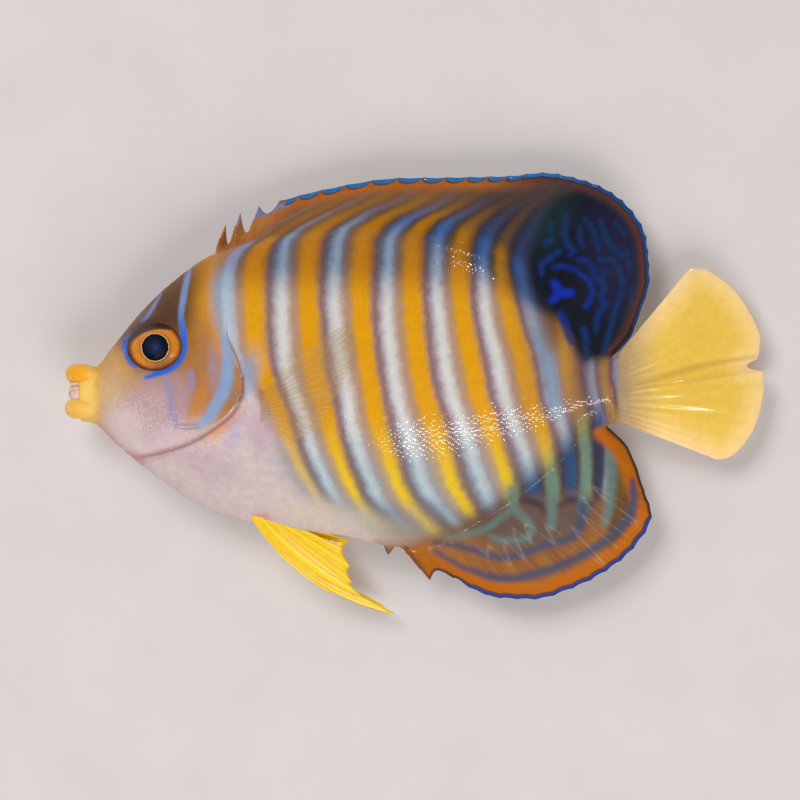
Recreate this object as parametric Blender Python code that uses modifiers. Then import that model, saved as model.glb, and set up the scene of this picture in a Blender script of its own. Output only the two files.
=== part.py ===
"""Regal angelfish, 100 mm long, lying on its right flank: head to -X, back to +Y, left flank up."""

import math

import bmesh
import bpy
import numpy as np

for old in list(bpy.data.objects):
    bpy.data.objects.remove(old, do_unlink=True)

MM = 0.001

# Millimetres throughout. The outline is that of the fish seen from its left side.
TOTAL_LENGTH = 100.0
GAP = 0.3
MID_HEIGHT = 6.75
HALF_WIDTH = 7.25
EYE_CENTRE = (-36.8, 6.7)
EYE_SEEN = (3.8, 3.25)
EYE_SIZE = (4.65, 3.98, 2.4)
EYE_DEPTH = 1.4
STALK_END = 29.3
STALK_START = 23.4
SECTION_POINTS = 36
DORSAL_SPINES = 14
DORSAL_RAYS = 32
ANAL_RAYS = 21
TAIL_RAYS = 17
PECTORAL_RAYS = 16
PELVIC_RAYS = 6
PECTORAL_ROOT = (-22.4, -1.8)
PECTORAL_LIFT = 0.68
PRESSED_HOLLOW = 1.05
SPINE_HOLLOW = 1.45
SPINE_ROOT = (-34.6, -4.1)
SPINE_LENGTH = 4.2

# Back and belly of the flesh: place along the fish, height.
BACK = [
    (-50.0, 2.3), (-49.5, 3.5), (-47.6, 4.35), (-45.7, 4.1), (-43.5, 6.6), (-39.4, 11.6),
    (-35.1, 15.8), (-28.8, 20.1), (-20.5, 22.3), (-10.1, 23.4), (-1.0, 22.95), (6.3, 21.6),
    (14.1, 17.8), (20.2, 11.6), (24.5, 6.5), (26.6, 5.3), (29.3, 5.2),
]
BELLY = [
    (-50.0, -0.6), (-49.5, -2.4), (-48.0, -3.7), (-46.0, -4.1), (-42.5, -7.2), (-36.2, -12.3),
    (-29.4, -16.4), (-22.5, -18.3), (-10.1, -20.2), (-2.0, -21.7), (2.0, -20.9), (10.5, -16.7),
    (19.1, -10.4), (24.2, -5.5), (26.8, -4.2), (29.3, -4.0),
]
# Half thickness, as a share of HALF_WIDTH.
FULLNESS = [
    (-50.0, 0.10), (-49.5, 0.21), (-48.0, 0.32), (-45.7, 0.42), (-42.0, 0.58), (-36.8, 0.77),
    (-30.0, 0.95), (-24.0, 0.98), (-15.0, 1.0), (-6.0, 0.985), (3.0, 0.87), (12.0, 0.66),
    (20.0, 0.40), (25.0, 0.27), (29.3, 0.17),
]
# Rear edge of the gill cover from the nape to the throat.
GILL_EDGE = [
    (-28.7, 23.0), (-28.4, 18.0), (-27.6, 13.0), (-26.4, 7.8), (-25.0, 4.4), (-24.4, 1.3),
    (-25.4, -1.9), (-28.9, -5.0), (-32.5, -7.0), (-36.5, -8.2), (-40.0, -9.0), (-43.0, -9.8),
]
# Front edge of the gill cover, with the cheek spine at its lower corner.
CHEEK_RIDGE = [(-31.9, 9.3), (-31.3, 5.0), (-31.5, 0.0), (-32.5, -3.0), (-34.2, -4.9), (-37.9, -6.2)]
# Crease behind the lips, from above the snout to under the chin.
LIP_CREASE = [(-45.2, 6.5), (-45.8, 4.2), (-46.5, 2.2), (-46.8, 0.4), (-46.6, -1.6), (-46.1, -4.2), (-45.6, -6.0)]
MOUTH_CORNER = (-47.3, 0.45)
MOUTH_TOP = 1.75
MOUTH_BOTTOM = -0.15
LIP_ROUND = 0.35

# Fin margins: ray number, place along the fish, height of the ray's tip.
DORSAL_TIPS = [
    (0, -27.2, 24.4), (1, -25.1, 26.1), (3, -19.5, 27.8), (5, -13.4, 29.4), (8, -2.3, 31.1),
    (10, 4.6, 31.2), (13, 13.4, 31.4), (15, 18.2, 31.9), (18, 24.4, 30.7), (21, 29.6, 27.9),
    (24, 33.0, 22.5), (27, 33.5, 16.5), (29, 31.6, 11.2), (31, 28.2, 6.6),
]
DORSAL_ROOTS = [(0, -28.4), (13, 3.5), (14, 5.6), (31, 24.6)]
ANAL_TIPS = [
    (0, -4.0, -22.9), (1, 2.0, -26.5), (2, 5.3, -26.2), (3, 7.7, -27.6), (5, 12.0, -29.1),
    (7, 17.0, -29.3), (9, 22.5, -27.7), (11, 27.3, -25.2), (13, 31.2, -22.0), (15, 33.8, -17.4),
    (17, 32.7, -13.6), (19, 30.3, -7.4), (20, 27.9, -4.9),
]
ANAL_ROOTS = [(0, -4.3), (1, -2.4), (2, -0.4), (3, 1.3), (20, 25.6)]
TAIL_TIPS = [
    (0, 39.3, 18.2), (1, 41.3, 18.1), (2, 43.3, 17.1), (3, 45.5, 15.4), (4, 47.2, 13.2),
    (5, 48.5, 10.9), (6, 49.5, 8.2), (7, 49.3, 6.2), (8, 49.1, 5.2), (9, 50.0, 3.4),
    (10, 50.0, 1.0), (11, 49.5, -2.0), (12, 48.5, -4.9), (13, 47.1, -7.1), (14, 45.8, -8.4),
    (15, 44.6, -9.1), (16, 43.3, -9.3),
]
TAIL_CREASE_RAY = 8
PECTORAL_TIPS = [
    (0, -12.3, 8.8), (2, -10.0, 9.7), (4, -8.7, 7.1), (6, -9.2, 4.4), (8, -10.3, 1.3),
    (10, -12.0, -1.6), (12, -14.0, -4.8), (14, -17.0, -6.2), (15, -19.3, -5.6),
]
PELVIC_TIPS = [
    (0, -12.5, -28.2), (1, -2.8, -31.6), (2, -8.0, -28.6), (3, -9.1, -26.8), (4, -9.4, -24.5),
    (5, -10.5, -21.8),
]
FAR_PELVIC_TIPS = [
    (0, -13.2, -27.2), (1, -4.4, -30.5), (2, -8.8, -28.0), (3, -9.8, -26.2), (4, -10.2, -24.0),
    (5, -9.6, -20.8),
]


def curve(knots, at, column=1):
    # Cubic through the knots that never swings past them.
    x = np.array([k[0] for k in knots], float)
    y = np.array([k[column] for k in knots], float)
    step = np.diff(x)
    rise = np.diff(y) / step
    slope = np.zeros(len(x))
    for i in range(1, len(x) - 1):
        if rise[i - 1] * rise[i] > 0:
            w1 = 2 * step[i] + step[i - 1]
            w2 = step[i] + 2 * step[i - 1]
            slope[i] = (w1 + w2) / (w1 / rise[i - 1] + w2 / rise[i])
    slope[0] = rise[0]
    slope[-1] = rise[-1]
    at = np.clip(np.asarray(at, float), x[0], x[-1])
    i = np.clip(np.searchsorted(x, at, side="right") - 1, 0, len(x) - 2)
    t = (at - x[i]) / step[i]
    a = (1 + 2 * t) * (1 - t) ** 2 * y[i] + t * (1 - t) ** 2 * step[i] * slope[i]
    b = t * t * (3 - 2 * t) * y[i + 1] + t * t * (t - 1) * step[i] * slope[i + 1]
    return a + b


def smooth_line(points, count):
    # The same line with evenly spaced points, rounded through the given ones.
    p = np.array(points, float)
    run = np.concatenate([[0.0], np.cumsum(np.hypot(*np.diff(p, axis=0).T))])
    at = np.linspace(0.0, run[-1], count)
    knots = np.column_stack([run, p])
    return np.column_stack([curve(knots, at, 1), curve(knots, at, 2)])


def shifted(line, distance):
    # The line moved sideways, to the left of its direction of travel.
    run = np.gradient(np.asarray(line, float), axis=0)
    run /= np.hypot(run[:, 0], run[:, 1])[:, None]
    return line + distance * np.column_stack([-run[:, 1], run[:, 0]])


def distance_to(line, x, y):
    # Distance to a line, and which side: positive to the left of its direction of travel.
    best = np.full(np.shape(x), 1e9)
    side = np.zeros(np.shape(x))
    for a, b in zip(line[:-1], line[1:]):
        ax, ay = a
        bx, by = b
        length = (bx - ax) ** 2 + (by - ay) ** 2
        t = np.clip(((x - ax) * (bx - ax) + (y - ay) * (by - ay)) / length, 0, 1)
        d = np.hypot(x - ax - t * (bx - ax), y - ay - t * (by - ay))
        s = np.sign((bx - ax) * (y - ay) - (by - ay) * (x - ax))
        nearer = d < best
        best = np.where(nearer, d, best)
        side = np.where(nearer, s, side)
    return best, side


GILL_LINE = smooth_line(GILL_EDGE, 30)
RIDGE_LINE = smooth_line(CHEEK_RIDGE, 12)
SPINE_LINE = np.array([SPINE_ROOT, (SPINE_ROOT[0] + SPINE_LENGTH, SPINE_ROOT[1] - 0.1)])


def ease(value, low, high):
    t = np.clip((value - low) / (high - low), 0, 1)
    return t * t * (3 - 2 * t)


def fin_point(base, tip, v, bow):
    # A point along one ray, bowed to the left of its direction.
    bx, by = base
    tx, ty = tip
    push = 4 * v * (1 - v) * bow / max(math.hypot(tx - bx, ty - by), 1e-6)
    return bx + (tx - bx) * v - (ty - by) * push, by + (ty - by) * v + (tx - bx) * push


def turned(point, centre, degrees):
    c = math.cos(math.radians(degrees))
    s = math.sin(math.radians(degrees))
    x = point[0] - centre[0]
    y = point[1] - centre[1]
    return centre[0] + c * x - s * y, centre[1] + s * x + c * y


def pectoral_root(i):
    share = i / (PECTORAL_RAYS - 1)
    return PECTORAL_ROOT[0] - 0.2 + 0.5 * share, PECTORAL_ROOT[1] + 1.9 - 3.8 * share


def pectoral_tip(i):
    return float(curve(PECTORAL_TIPS, i, 1)), float(curve(PECTORAL_TIPS, i, 2))


RIGHT_PECTORAL_TURN = -68.0


def pectoral_outline():
    rim = [pectoral_tip(i) for i in range(0, PECTORAL_RAYS, 3)]
    rim = [pectoral_root(0)] + rim + [pectoral_root(PECTORAL_RAYS - 1)]
    rim = [turned(p, PECTORAL_ROOT, RIGHT_PECTORAL_TURN) for p in rim]
    return rim + [rim[0]]


PRESSED_OUTLINE = np.array(pectoral_outline())


def inside(outline, x, y):
    # Whether each place lies inside a closed outline.
    hit = np.zeros(np.shape(x), bool)
    for a, b in zip(outline[:-1], outline[1:]):
        ax, ay = a
        bx, by = b
        if ay == by:
            continue
        crosses = (ay > y) != (by > y)
        hit ^= crosses & (x < (bx - ax) * (y - ay) / (by - ay) + ax)
    return hit


def relief(x, y, part):
    # Forms raised on the flank: rim of the eye, gill cover, cheek ridge.
    r = np.hypot((x - EYE_CENTRE[0]) / EYE_SEEN[0], (y - EYE_CENTRE[1]) / EYE_SEEN[1])
    rise = 0.3 * np.exp(-(((r - 1.28) / 0.22) ** 2))
    d, side = distance_to(GILL_LINE, x, y)
    if part == "head":
        rise = rise + 0.22 * np.exp(-((d / 2.2) ** 2)) * ease(y, 22.0, 12.0)
    else:
        rise = rise * 0.0 - 0.38 * np.exp(-((d / 2.6) ** 2)) * ease(y, 22.0, 12.0)
    if part == "head":
        ridge, side = distance_to(RIDGE_LINE, x, y)
        rise = rise + 0.25 * np.exp(-((ridge / 1.0) ** 2))
    return rise


def half_thickness(x, y, part, grow=0.0):
    top = curve(BACK, x) + grow
    bottom = curve(BELLY, x) - grow
    share = 0.45 + 0.07 * ease(x, -44.0, -20.0)
    middle = bottom + share * (top - bottom)
    reach = np.where(y > middle, top - middle, middle - bottom)
    s = np.clip(np.abs(y - middle) / reach, 0, 1)
    lens = 0.52 + 0.14 * ease(x, -48.0, -26.0)
    full = HALF_WIDTH * curve(FULLNESS, x) + grow
    body = full * (1 - s * s) ** lens
    return body + relief(x, y, part) * ease(1 - s, 0.0, 0.25)


def pressed(x, y):
    # Hollows that the folded right fin and the right cheek spine press into the resting flank.
    d, side = distance_to(PRESSED_OUTLINE, x, y)
    d = np.where(inside(PRESSED_OUTLINE, x, y), 0.0, d)
    spine, side = distance_to(SPINE_LINE, x, y)
    return np.maximum(PRESSED_HOLLOW * ease(d, 3.2, 1.5), SPINE_HOLLOW * ease(spine, 3.4, 1.6))


def flank_left(x, y, part="body"):
    return MID_HEIGHT + half_thickness(x, y, part)


def flank_right(x, y, part="body"):
    z = np.maximum(MID_HEIGHT - half_thickness(x, y, part), 0.0)
    return np.maximum(z, pressed(x, y))


def ring(x, part, grow):
    top = float(curve(BACK, x)) + grow
    bottom = float(curve(BELLY, x)) - grow
    share = 0.45 + 0.07 * float(ease(x, -44.0, -20.0))
    middle = bottom + share * (top - bottom)
    angle = np.arange(SECTION_POINTS) * 2 * math.pi / SECTION_POINTS
    c = np.cos(angle)
    y = middle + np.where(c > 0, top - middle, middle - bottom) * c
    place = np.full(SECTION_POINTS, float(x))
    thick = half_thickness(place, y, part, grow)
    z = MID_HEIGHT + np.sign(np.round(np.sin(angle), 9)) * thick
    z = np.maximum(z, -grow)
    hollow = pressed(place, y)
    z = np.where((np.sin(angle) < -0.2) & (hollow > 0.0), np.maximum(z, hollow - grow), z)
    return [(float(x), float(b), float(d)) for b, d in zip(y, z)]


def add_object(name, verts, faces):
    mesh = bpy.data.meshes.new(name)
    mesh.from_pydata([(x * MM, y * MM, z * MM) for x, y, z in verts], [], faces)
    mesh.update()
    obj = bpy.data.objects.new(name, mesh)
    bpy.context.scene.collection.objects.link(obj)
    return obj


def face_outward(obj):
    bm = bmesh.new()
    bm.from_mesh(obj.data)
    bmesh.ops.recalc_face_normals(bm, faces=bm.faces)
    if bm.calc_volume(signed=True) < 0:
        bmesh.ops.reverse_faces(bm, faces=bm.faces)
    bm.to_mesh(obj.data)
    bm.free()


def loft(name, rings):
    count = len(rings[0])
    verts = [p for one in rings for p in one]
    faces = []
    for i in range(len(rings) - 1):
        for k in range(count):
            n = (k + 1) % count
            faces.append((i * count + k, i * count + n, (i + 1) * count + n, (i + 1) * count + k))
    faces.append(tuple(reversed(range(count))))
    faces.append(tuple(range((len(rings) - 1) * count, len(rings) * count)))
    obj = add_object(name, verts, faces)
    face_outward(obj)
    return obj


def prism(name, outline, low=-5.0, high=20.0):
    count = len(outline)
    verts = [(x, y, low) for x, y in outline] + [(x, y, high) for x, y in outline]
    faces = [tuple(reversed(range(count))), tuple(range(count, 2 * count))]
    for k in range(count):
        n = (k + 1) % count
        faces.append((k, n, count + n, count + k))
    obj = add_object(name, verts, faces)
    face_outward(obj)
    return obj


def bake(obj):
    # Replace the mesh by its finished shape and drop the modifiers.
    graph = bpy.context.evaluated_depsgraph_get()
    mesh = bpy.data.meshes.new_from_object(obj.evaluated_get(graph))
    obj.modifiers.clear()
    obj.data = mesh


def boolean(obj, other, operation, keep=False, solver="MANIFOLD"):
    change = obj.modifiers.new("join", "BOOLEAN")
    change.operation = operation
    change.solver = solver
    change.object = other
    bake(obj)
    if not keep:
        bpy.data.objects.remove(other, do_unlink=True)


def keep_largest(obj):
    bm = bmesh.new()
    bm.from_mesh(obj.data)
    bm.faces.ensure_lookup_table()
    left = set(bm.faces)
    shells = []
    while left:
        start = left.pop()
        shell = {start}
        stack = [start]
        while stack:
            face = stack.pop()
            for edge in face.edges:
                for other in edge.link_faces:
                    if other in left:
                        left.discard(other)
                        shell.add(other)
                        stack.append(other)
        shells.append(shell)
    shells.sort(key=len, reverse=True)
    spare = [f for shell in shells[1:] for f in shell]
    if spare:
        bmesh.ops.delete(bm, geom=spare, context="FACES")
    bm.to_mesh(obj.data)
    bm.free()


def finish(obj, name, colour, rough=0.35):
    bm = bmesh.new()
    bm.from_mesh(obj.data)
    bmesh.ops.remove_doubles(bm, verts=bm.verts, dist=0.00001)
    bmesh.ops.dissolve_degenerate(bm, edges=bm.edges, dist=0.00001)
    bmesh.ops.triangulate(bm, faces=bm.faces)
    bm.to_mesh(obj.data)
    bm.free()
    keep_largest(obj)
    obj.name = name
    obj.data.name = name
    for face in obj.data.polygons:
        face.use_smooth = True
    paint = bpy.data.materials.new(name)
    paint.use_nodes = True
    shader = paint.node_tree.nodes["Principled BSDF"]
    shader.inputs["Base Color"].default_value = (*colour, 1.0)
    shader.inputs["Roughness"].default_value = rough
    obj.data.materials.clear()
    obj.data.materials.append(paint)
    return obj


def stations(start, end, step):
    return np.linspace(start, end, max(2, int(round((end - start) / step)) + 1))


def trunk(name, part, start, end, step, grow=0.0):
    return loft(name, [ring(x, part, grow) for x in stations(start, end, step)])


# Flesh of the head and lips, from one shape parted by thin cuts.
snout = [ring(x, "head", 0.0) for x in (-50.0, -49.85, -49.5, -49.0, -48.3, -47.5, -46.7, -46.0)]
cheek = [ring(x, "head", 0.0) for x in stations(-45.4, -23.4, 0.95)]
head = loft("head", snout + cheek)
upper_lip = loft("upper_lip", snout + cheek[:3])
lower_lip = loft("lower_lip", snout + cheek[:3])

behind_lips = shifted(smooth_line(LIP_CREASE, 14), 0.5 * GAP)
before_lips = shifted(smooth_line(LIP_CREASE, 14), -0.5 * GAP)
front_of_gill = GILL_LINE
head_outline = [tuple(p) for p in behind_lips] + [tuple(p) for p in reversed(front_of_gill)]
boolean(head, prism("head_bounds", head_outline), "INTERSECT")

# The lips end on both sides of the open mouth and of the line behind its corner.
before = [tuple(p) for p in before_lips]
corner = MOUTH_CORNER
upper_crease = [p for p in before if p[1] > corner[1] + 0.6]
lower_crease = [p for p in before if p[1] < corner[1] - 0.6]
line_end = -46.95
upper_bounds = [(-52.0, 6.5)] + [(-52.0, MOUTH_TOP + 0.35), (corner[0], corner[1] + 0.5 * GAP)]
upper_bounds += [(line_end, corner[1] + 0.5 * GAP)] + list(reversed(upper_crease))
lower_bounds = [(-52.0, -6.5)] + [(-52.0, MOUTH_BOTTOM - 0.2), (corner[0], corner[1] - 0.5 * GAP)]
lower_bounds += [(line_end, corner[1] - 0.5 * GAP)] + lower_crease
boolean(upper_lip, prism("upper_bounds", upper_bounds), "INTERSECT")
boolean(lower_lip, prism("lower_bounds", lower_bounds), "INTERSECT")
for lip in (upper_lip, lower_lip):
    tidy = bmesh.new()
    tidy.from_mesh(lip.data)
    bmesh.ops.remove_doubles(tidy, verts=tidy.verts, dist=0.00004)
    bmesh.ops.dissolve_limit(tidy, angle_limit=math.radians(2), verts=tidy.verts, edges=tidy.edges)
    tidy.to_mesh(lip.data)
    tidy.free()
    soft = lip.modifiers.new("soft", "BEVEL")
    soft.width = LIP_ROUND * MM
    soft.segments = 2
    soft.limit_method = "ANGLE"
    soft.angle_limit = math.radians(50)
    soft.use_clamp_overlap = True
    bake(lip)

# Body and tail stalk, from one shape behind the gill covers.
body = trunk("body", "body", -43.0, 26.0, 1.6)
behind_gill = shifted(GILL_LINE, GAP)
body_outline = [tuple(p) for p in behind_gill] + [(-43.0, -30.0), (STALK_START, -30.0), (STALK_START, 30.0)]
body_outline += [(-28.7, 30.0)]
boolean(body, prism("body_bounds", body_outline), "INTERSECT")

stalk_rings = [ring(x, "body", 0.0) for x in stations(STALK_START + GAP, STALK_END - 0.5, 0.9)]
for share, back_off in ((0.8, 0.15), (0.45, 0.0)):
    last = ring(STALK_END - back_off, "body", 0.0)
    stalk_rings.append([(x, y * (0.97 + 0.03 * share), MID_HEIGHT + (z - MID_HEIGHT) * share) for x, y, z in last])
tail_stalk = loft("tail_stalk", stalk_rings)


def ellipsoid(name, centre, size, around=18, along=10):
    verts = [(centre[0], centre[1], centre[2] + size[2])]
    for j in range(1, along):
        b = math.pi * j / along
        for k in range(around):
            a = 2 * math.pi * k / around
            x = centre[0] + size[0] * math.sin(b) * math.cos(a)
            y = centre[1] + size[1] * math.sin(b) * math.sin(a)
            verts.append((x, y, centre[2] + size[2] * math.cos(b)))
    verts.append((centre[0], centre[1], centre[2] - size[2]))
    faces = [(0, 1 + k, 1 + (k + 1) % around) for k in range(around)]
    for j in range(along - 2):
        for k in range(around):
            n = (k + 1) % around
            a = 1 + j * around
            faces.append((a + k, a + around + k, a + around + n, a + n))
    low = 1 + (along - 2) * around
    faces += [(len(verts) - 1, low + (k + 1) % around, low + k) for k in range(around)]
    obj = add_object(name, verts, faces)
    face_outward(obj)
    return obj


# Eyes sit in sockets a gap wider than themselves; two nostrils lie before each.
eyes = []
for name, side in (("eye_left", 1), ("eye_right", -1)):
    surface = float(half_thickness(np.array(EYE_CENTRE[0]), np.array(EYE_CENTRE[1]), "head"))
    centre = (*EYE_CENTRE, MID_HEIGHT + side * (surface - EYE_DEPTH))
    eyes.append(ellipsoid(name, centre, EYE_SIZE))
    socket = ellipsoid("socket", centre, [s + GAP for s in EYE_SIZE], 24, 14)
    boolean(head, socket, "DIFFERENCE")
    for x, y, size in ((-43.0, 5.3, 0.42), (-42.0, 6.7, 0.5)):
        depth = float(half_thickness(np.array(x), np.array(y), "head"))
        nostril = ellipsoid("nostril", (x, y, MID_HEIGHT + side * depth), (size, size, 0.5), 10, 6)
        boolean(head, nostril, "DIFFERENCE")


def tapered(name, points, radii, around=8, flat=0.8):
    rings = []
    for i, p in enumerate(points):
        a = np.array(points[max(i - 1, 0)])
        b = np.array(points[min(i + 1, len(points) - 1)])
        run = (b - a) / np.linalg.norm(b - a)
        across = np.cross(run, (0.0, 0.0, 1.0))
        across /= np.linalg.norm(across)
        up = np.cross(across, run)
        one = []
        for k in range(around):
            t = 2 * math.pi * k / around
            q = np.array(p) + radii[i] * (math.cos(t) * across + flat * math.sin(t) * up)
            one.append(tuple(q))
        rings.append(one)
    return loft(name, rings)


# A stout spine leaves the lower corner of each cheek ridge and points back over the gill cover.
spines = []
for name, side in (("cheek_spine_left", 1), ("cheek_spine_right", -1)):
    points = []
    radii = []
    for i in range(7):
        t = i / 6
        x = SPINE_ROOT[0] + SPINE_LENGTH * t
        y = SPINE_ROOT[1] - 0.35 * math.sin(math.pi * t) - 0.1 * t
        flank = flank_left if side > 0 else flank_right
        rise = (GAP + 0.1) * (1 - 2.2 * (1 - ease(t, 0.0, 0.35)))
        points.append((x, y, float(flank(np.array(x), np.array(y), "head")) + side * rise))
        radii.append(0.5 * (1 - t) ** 0.7 + 0.12)
    spine = tapered(name, points, radii)
    spines.append(spine)

trunk_room = loft("trunk_room", [ring(x, "body", GAP) for x in stations(-49.0, STALK_END + GAP, 1.35)])
cheek_room = loft("cheek_room", [ring(x, "head", GAP) for x in stations(-40.0, -23.6, 0.95)])
for spine in spines:
    boolean(spine, cheek_room, "DIFFERENCE", keep=True)
bpy.data.objects.remove(cheek_room, do_unlink=True)


def fin(name, rays, rows, root, tip, lay, notch, bow, thick):
    # A sheet with one row of points on each ray and one on the skin between; rays stand out of it.
    columns = 2 * rays - 1
    verts = []
    weights = []
    most = max(thick(i, v) for i in range(rays) for v in (0.0, 0.5, 1.0))
    for c in range(columns):
        i = c / 2
        start = root(i)
        end = tip(i)
        if c % 2:
            pull = notch(i)
            end = (end[0] + (start[0] - end[0]) * pull, end[1] + (start[1] - end[1]) * pull)
        for r in range(rows):
            v = r / (rows - 1)
            x, y = fin_point(start, end, v, bow(i))
            verts.append((x, y, lay(x, y, i, v)))
            weight = thick(i, v) / most
            if c % 2:
                weight = max(weight * 0.62, 0.5 / most)
            weights.append(weight)
    faces = []
    for c in range(columns - 1):
        for r in range(rows - 1):
            a = c * rows + r
            b = a + rows
            faces += [(a, b, b + 1), (a, b + 1, a + 1)] if c % 2 else [(a, b, a + 1), (b, b + 1, a + 1)]
    obj = add_object(name, verts, faces)
    group = obj.vertex_groups.new(name="thickness")
    for k, weight in enumerate(weights):
        group.add([k], min(weight, 1.0), "REPLACE")
    sheet = obj.modifiers.new("sheet", "SOLIDIFY")
    sheet.thickness = most * MM
    sheet.offset = 0.0
    sheet.vertex_group = "thickness"
    sheet.thickness_vertex_group = 0.0
    bake(obj)
    face_outward(obj)
    return obj


def by_ray(knots):
    return lambda i: (float(curve(knots, i, 1)), float(curve(knots, i, 2)))


def dorsal_root(i):
    x = float(curve(DORSAL_ROOTS, i))
    return x, float(curve(BACK, x)) - 1.6


def anal_root(i):
    x = float(curve(ANAL_ROOTS, i))
    return x, float(curve(BELLY, x)) + 1.6


def tail_root(i):
    share = i / (TAIL_RAYS - 1)
    return STALK_END - 1.6, 4.5 - 7.9 * share


def dorsal_lay(x, y, i, v):
    return MID_HEIGHT - 2.1 * v * v + 0.18 * v * math.sin(1.1 * i)


def anal_lay(x, y, i, v):
    return MID_HEIGHT - 2.2 * v * v + 0.15 * v * math.sin(1.3 * i)


def tail_lay(x, y, i, v):
    fold = math.exp(-(((i - TAIL_CREASE_RAY) / 1.3) ** 2))
    return MID_HEIGHT - 3.2 * v ** 1.5 - 0.55 * v * fold


def dorsal_notch(i):
    if i > DORSAL_SPINES:
        return 0.012
    return 0.30 - 0.022 * i if i > 0.6 else 0.35


def anal_notch(i):
    if i < 1:
        return 0.62
    return 0.16 if i < 2 else 0.012


def dorsal_thick(i, v):
    root = 1.15 if i < DORSAL_SPINES else 0.95
    return root * (1 - v) + 0.52 * v


def fin_thick(i, v):
    return 0.95 * (1 - v) + 0.5 * v


def no_bow(i):
    return 0.0


dorsal_fin = fin("dorsal_fin", DORSAL_RAYS, 6, dorsal_root, by_ray(DORSAL_TIPS), dorsal_lay,
                 dorsal_notch, lambda i: 0.5 + 0.02 * i, dorsal_thick)
anal_fin = fin("anal_fin", ANAL_RAYS, 6, anal_root, by_ray(ANAL_TIPS), anal_lay,
               anal_notch, lambda i: -0.5, dorsal_thick)
tail_fin = fin("tail_fin", TAIL_RAYS, 7, tail_root, by_ray(TAIL_TIPS), tail_lay,
               lambda i: 0.01, no_bow, fin_thick)


def left_pectoral_lay(x, y, i, v):
    rise = PECTORAL_LIFT * (2.6 * ease(v, -0.1, 0.14) - 1.6) + 0.4 * ease(v, 0.1, 0.7)
    return float(flank_left(np.array(x), np.array(y))) + rise


def right_pectoral_lay(x, y, i, v):
    return float(flank_right(np.array(x), np.array(y))) - PECTORAL_LIFT * (2.2 * ease(v, -0.1, 0.14) - 1.2)


def pectoral_thick(i, v):
    return 0.62 * (1 - v) + 0.5 * v


pectoral_left = fin("pectoral_fin_left", PECTORAL_RAYS, 6, pectoral_root, pectoral_tip,
                    left_pectoral_lay, lambda i: 0.01, no_bow, pectoral_thick)
pectoral_right = fin("pectoral_fin_right", PECTORAL_RAYS, 6,
                     lambda i: turned(pectoral_root(i), PECTORAL_ROOT, RIGHT_PECTORAL_TURN),
                     lambda i: turned(pectoral_tip(i), PECTORAL_ROOT, RIGHT_PECTORAL_TURN),
                     right_pectoral_lay, lambda i: 0.01, no_bow, pectoral_thick)


def pelvic_root(i):
    return -24.0 + 0.75 * i, -16.6 - 0.1 * i


def pelvic_bow(i):
    return -2.8 * max(0.0, 1 - abs(i - 1) / 1.6)


def left_pelvic_lay(x, y, i, v):
    out = math.hypot(x + 22.5, y + 17.0) / 24.5
    return MID_HEIGHT + 1.15 - 5.6 * out ** 1.2


def right_pelvic_lay(x, y, i, v):
    out = math.hypot(x + 22.5, y + 17.0) / 24.5
    return MID_HEIGHT - 1.15 - 4.7 * out ** 1.1


pelvic_left = fin("pelvic_fin_left", PELVIC_RAYS, 8, pelvic_root, by_ray(PELVIC_TIPS),
                  left_pelvic_lay, lambda i: 0.05, pelvic_bow, fin_thick)
pelvic_right = fin("pelvic_fin_right", PELVIC_RAYS, 8, pelvic_root,
                   by_ray(FAR_PELVIC_TIPS), right_pelvic_lay, lambda i: 0.05, pelvic_bow, fin_thick)
for one in (dorsal_fin, anal_fin, tail_fin, pelvic_left, pelvic_right, pectoral_left, pectoral_right):
    boolean(one, trunk_room, "DIFFERENCE", keep=True)
bpy.data.objects.remove(trunk_room, do_unlink=True)

finish(head, "head", (0.55, 0.42, 0.33))
finish(upper_lip, "upper_lip", (0.83, 0.36, 0.02))
finish(lower_lip, "lower_lip", (0.83, 0.36, 0.02))
finish(body, "body", (0.72, 0.45, 0.12))
finish(tail_stalk, "tail_stalk", (0.60, 0.40, 0.16))
finish(eyes[0], "eye_left", (0.05, 0.03, 0.02), 0.1)
finish(eyes[1], "eye_right", (0.05, 0.03, 0.02), 0.1)
finish(spines[0], "cheek_spine_left", (0.35, 0.50, 0.75))
finish(spines[1], "cheek_spine_right", (0.35, 0.50, 0.75))
finish(dorsal_fin, "dorsal_fin", (0.30, 0.16, 0.06))
finish(anal_fin, "anal_fin", (0.42, 0.20, 0.04))
finish(tail_fin, "tail_fin", (0.85, 0.58, 0.12))
finish(pectoral_left, "pectoral_fin_left", (0.85, 0.78, 0.60))
finish(pectoral_right, "pectoral_fin_right", (0.85, 0.78, 0.60))
finish(pelvic_left, "pelvic_fin_left", (0.87, 0.55, 0.02))
finish(pelvic_right, "pelvic_fin_right", (0.87, 0.45, 0.02))

# The origin is the middle of the underside of the whole fish.
parts = [o for o in bpy.data.objects if o.type == "MESH"]
points = np.array([v.co[:] for o in parts for v in o.data.vertices])
low = points.min(axis=0)
high = points.max(axis=0)
for o in parts:
    for v in o.data.vertices:
        v.co.x -= (low[0] + high[0]) / 2
        v.co.y -= (low[1] + high[1]) / 2
        v.co.z -= low[2]
    o.data.update()
print("size", (high - low) / MM, "centre", (low + high) / 2 / MM, "lowest", low[2] / MM)
for o in parts:
    print(o.name, len(o.data.polygons))
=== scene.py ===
import math
import random

import bmesh
import bpy
import numpy as np
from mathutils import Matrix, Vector, kdtree


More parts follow.
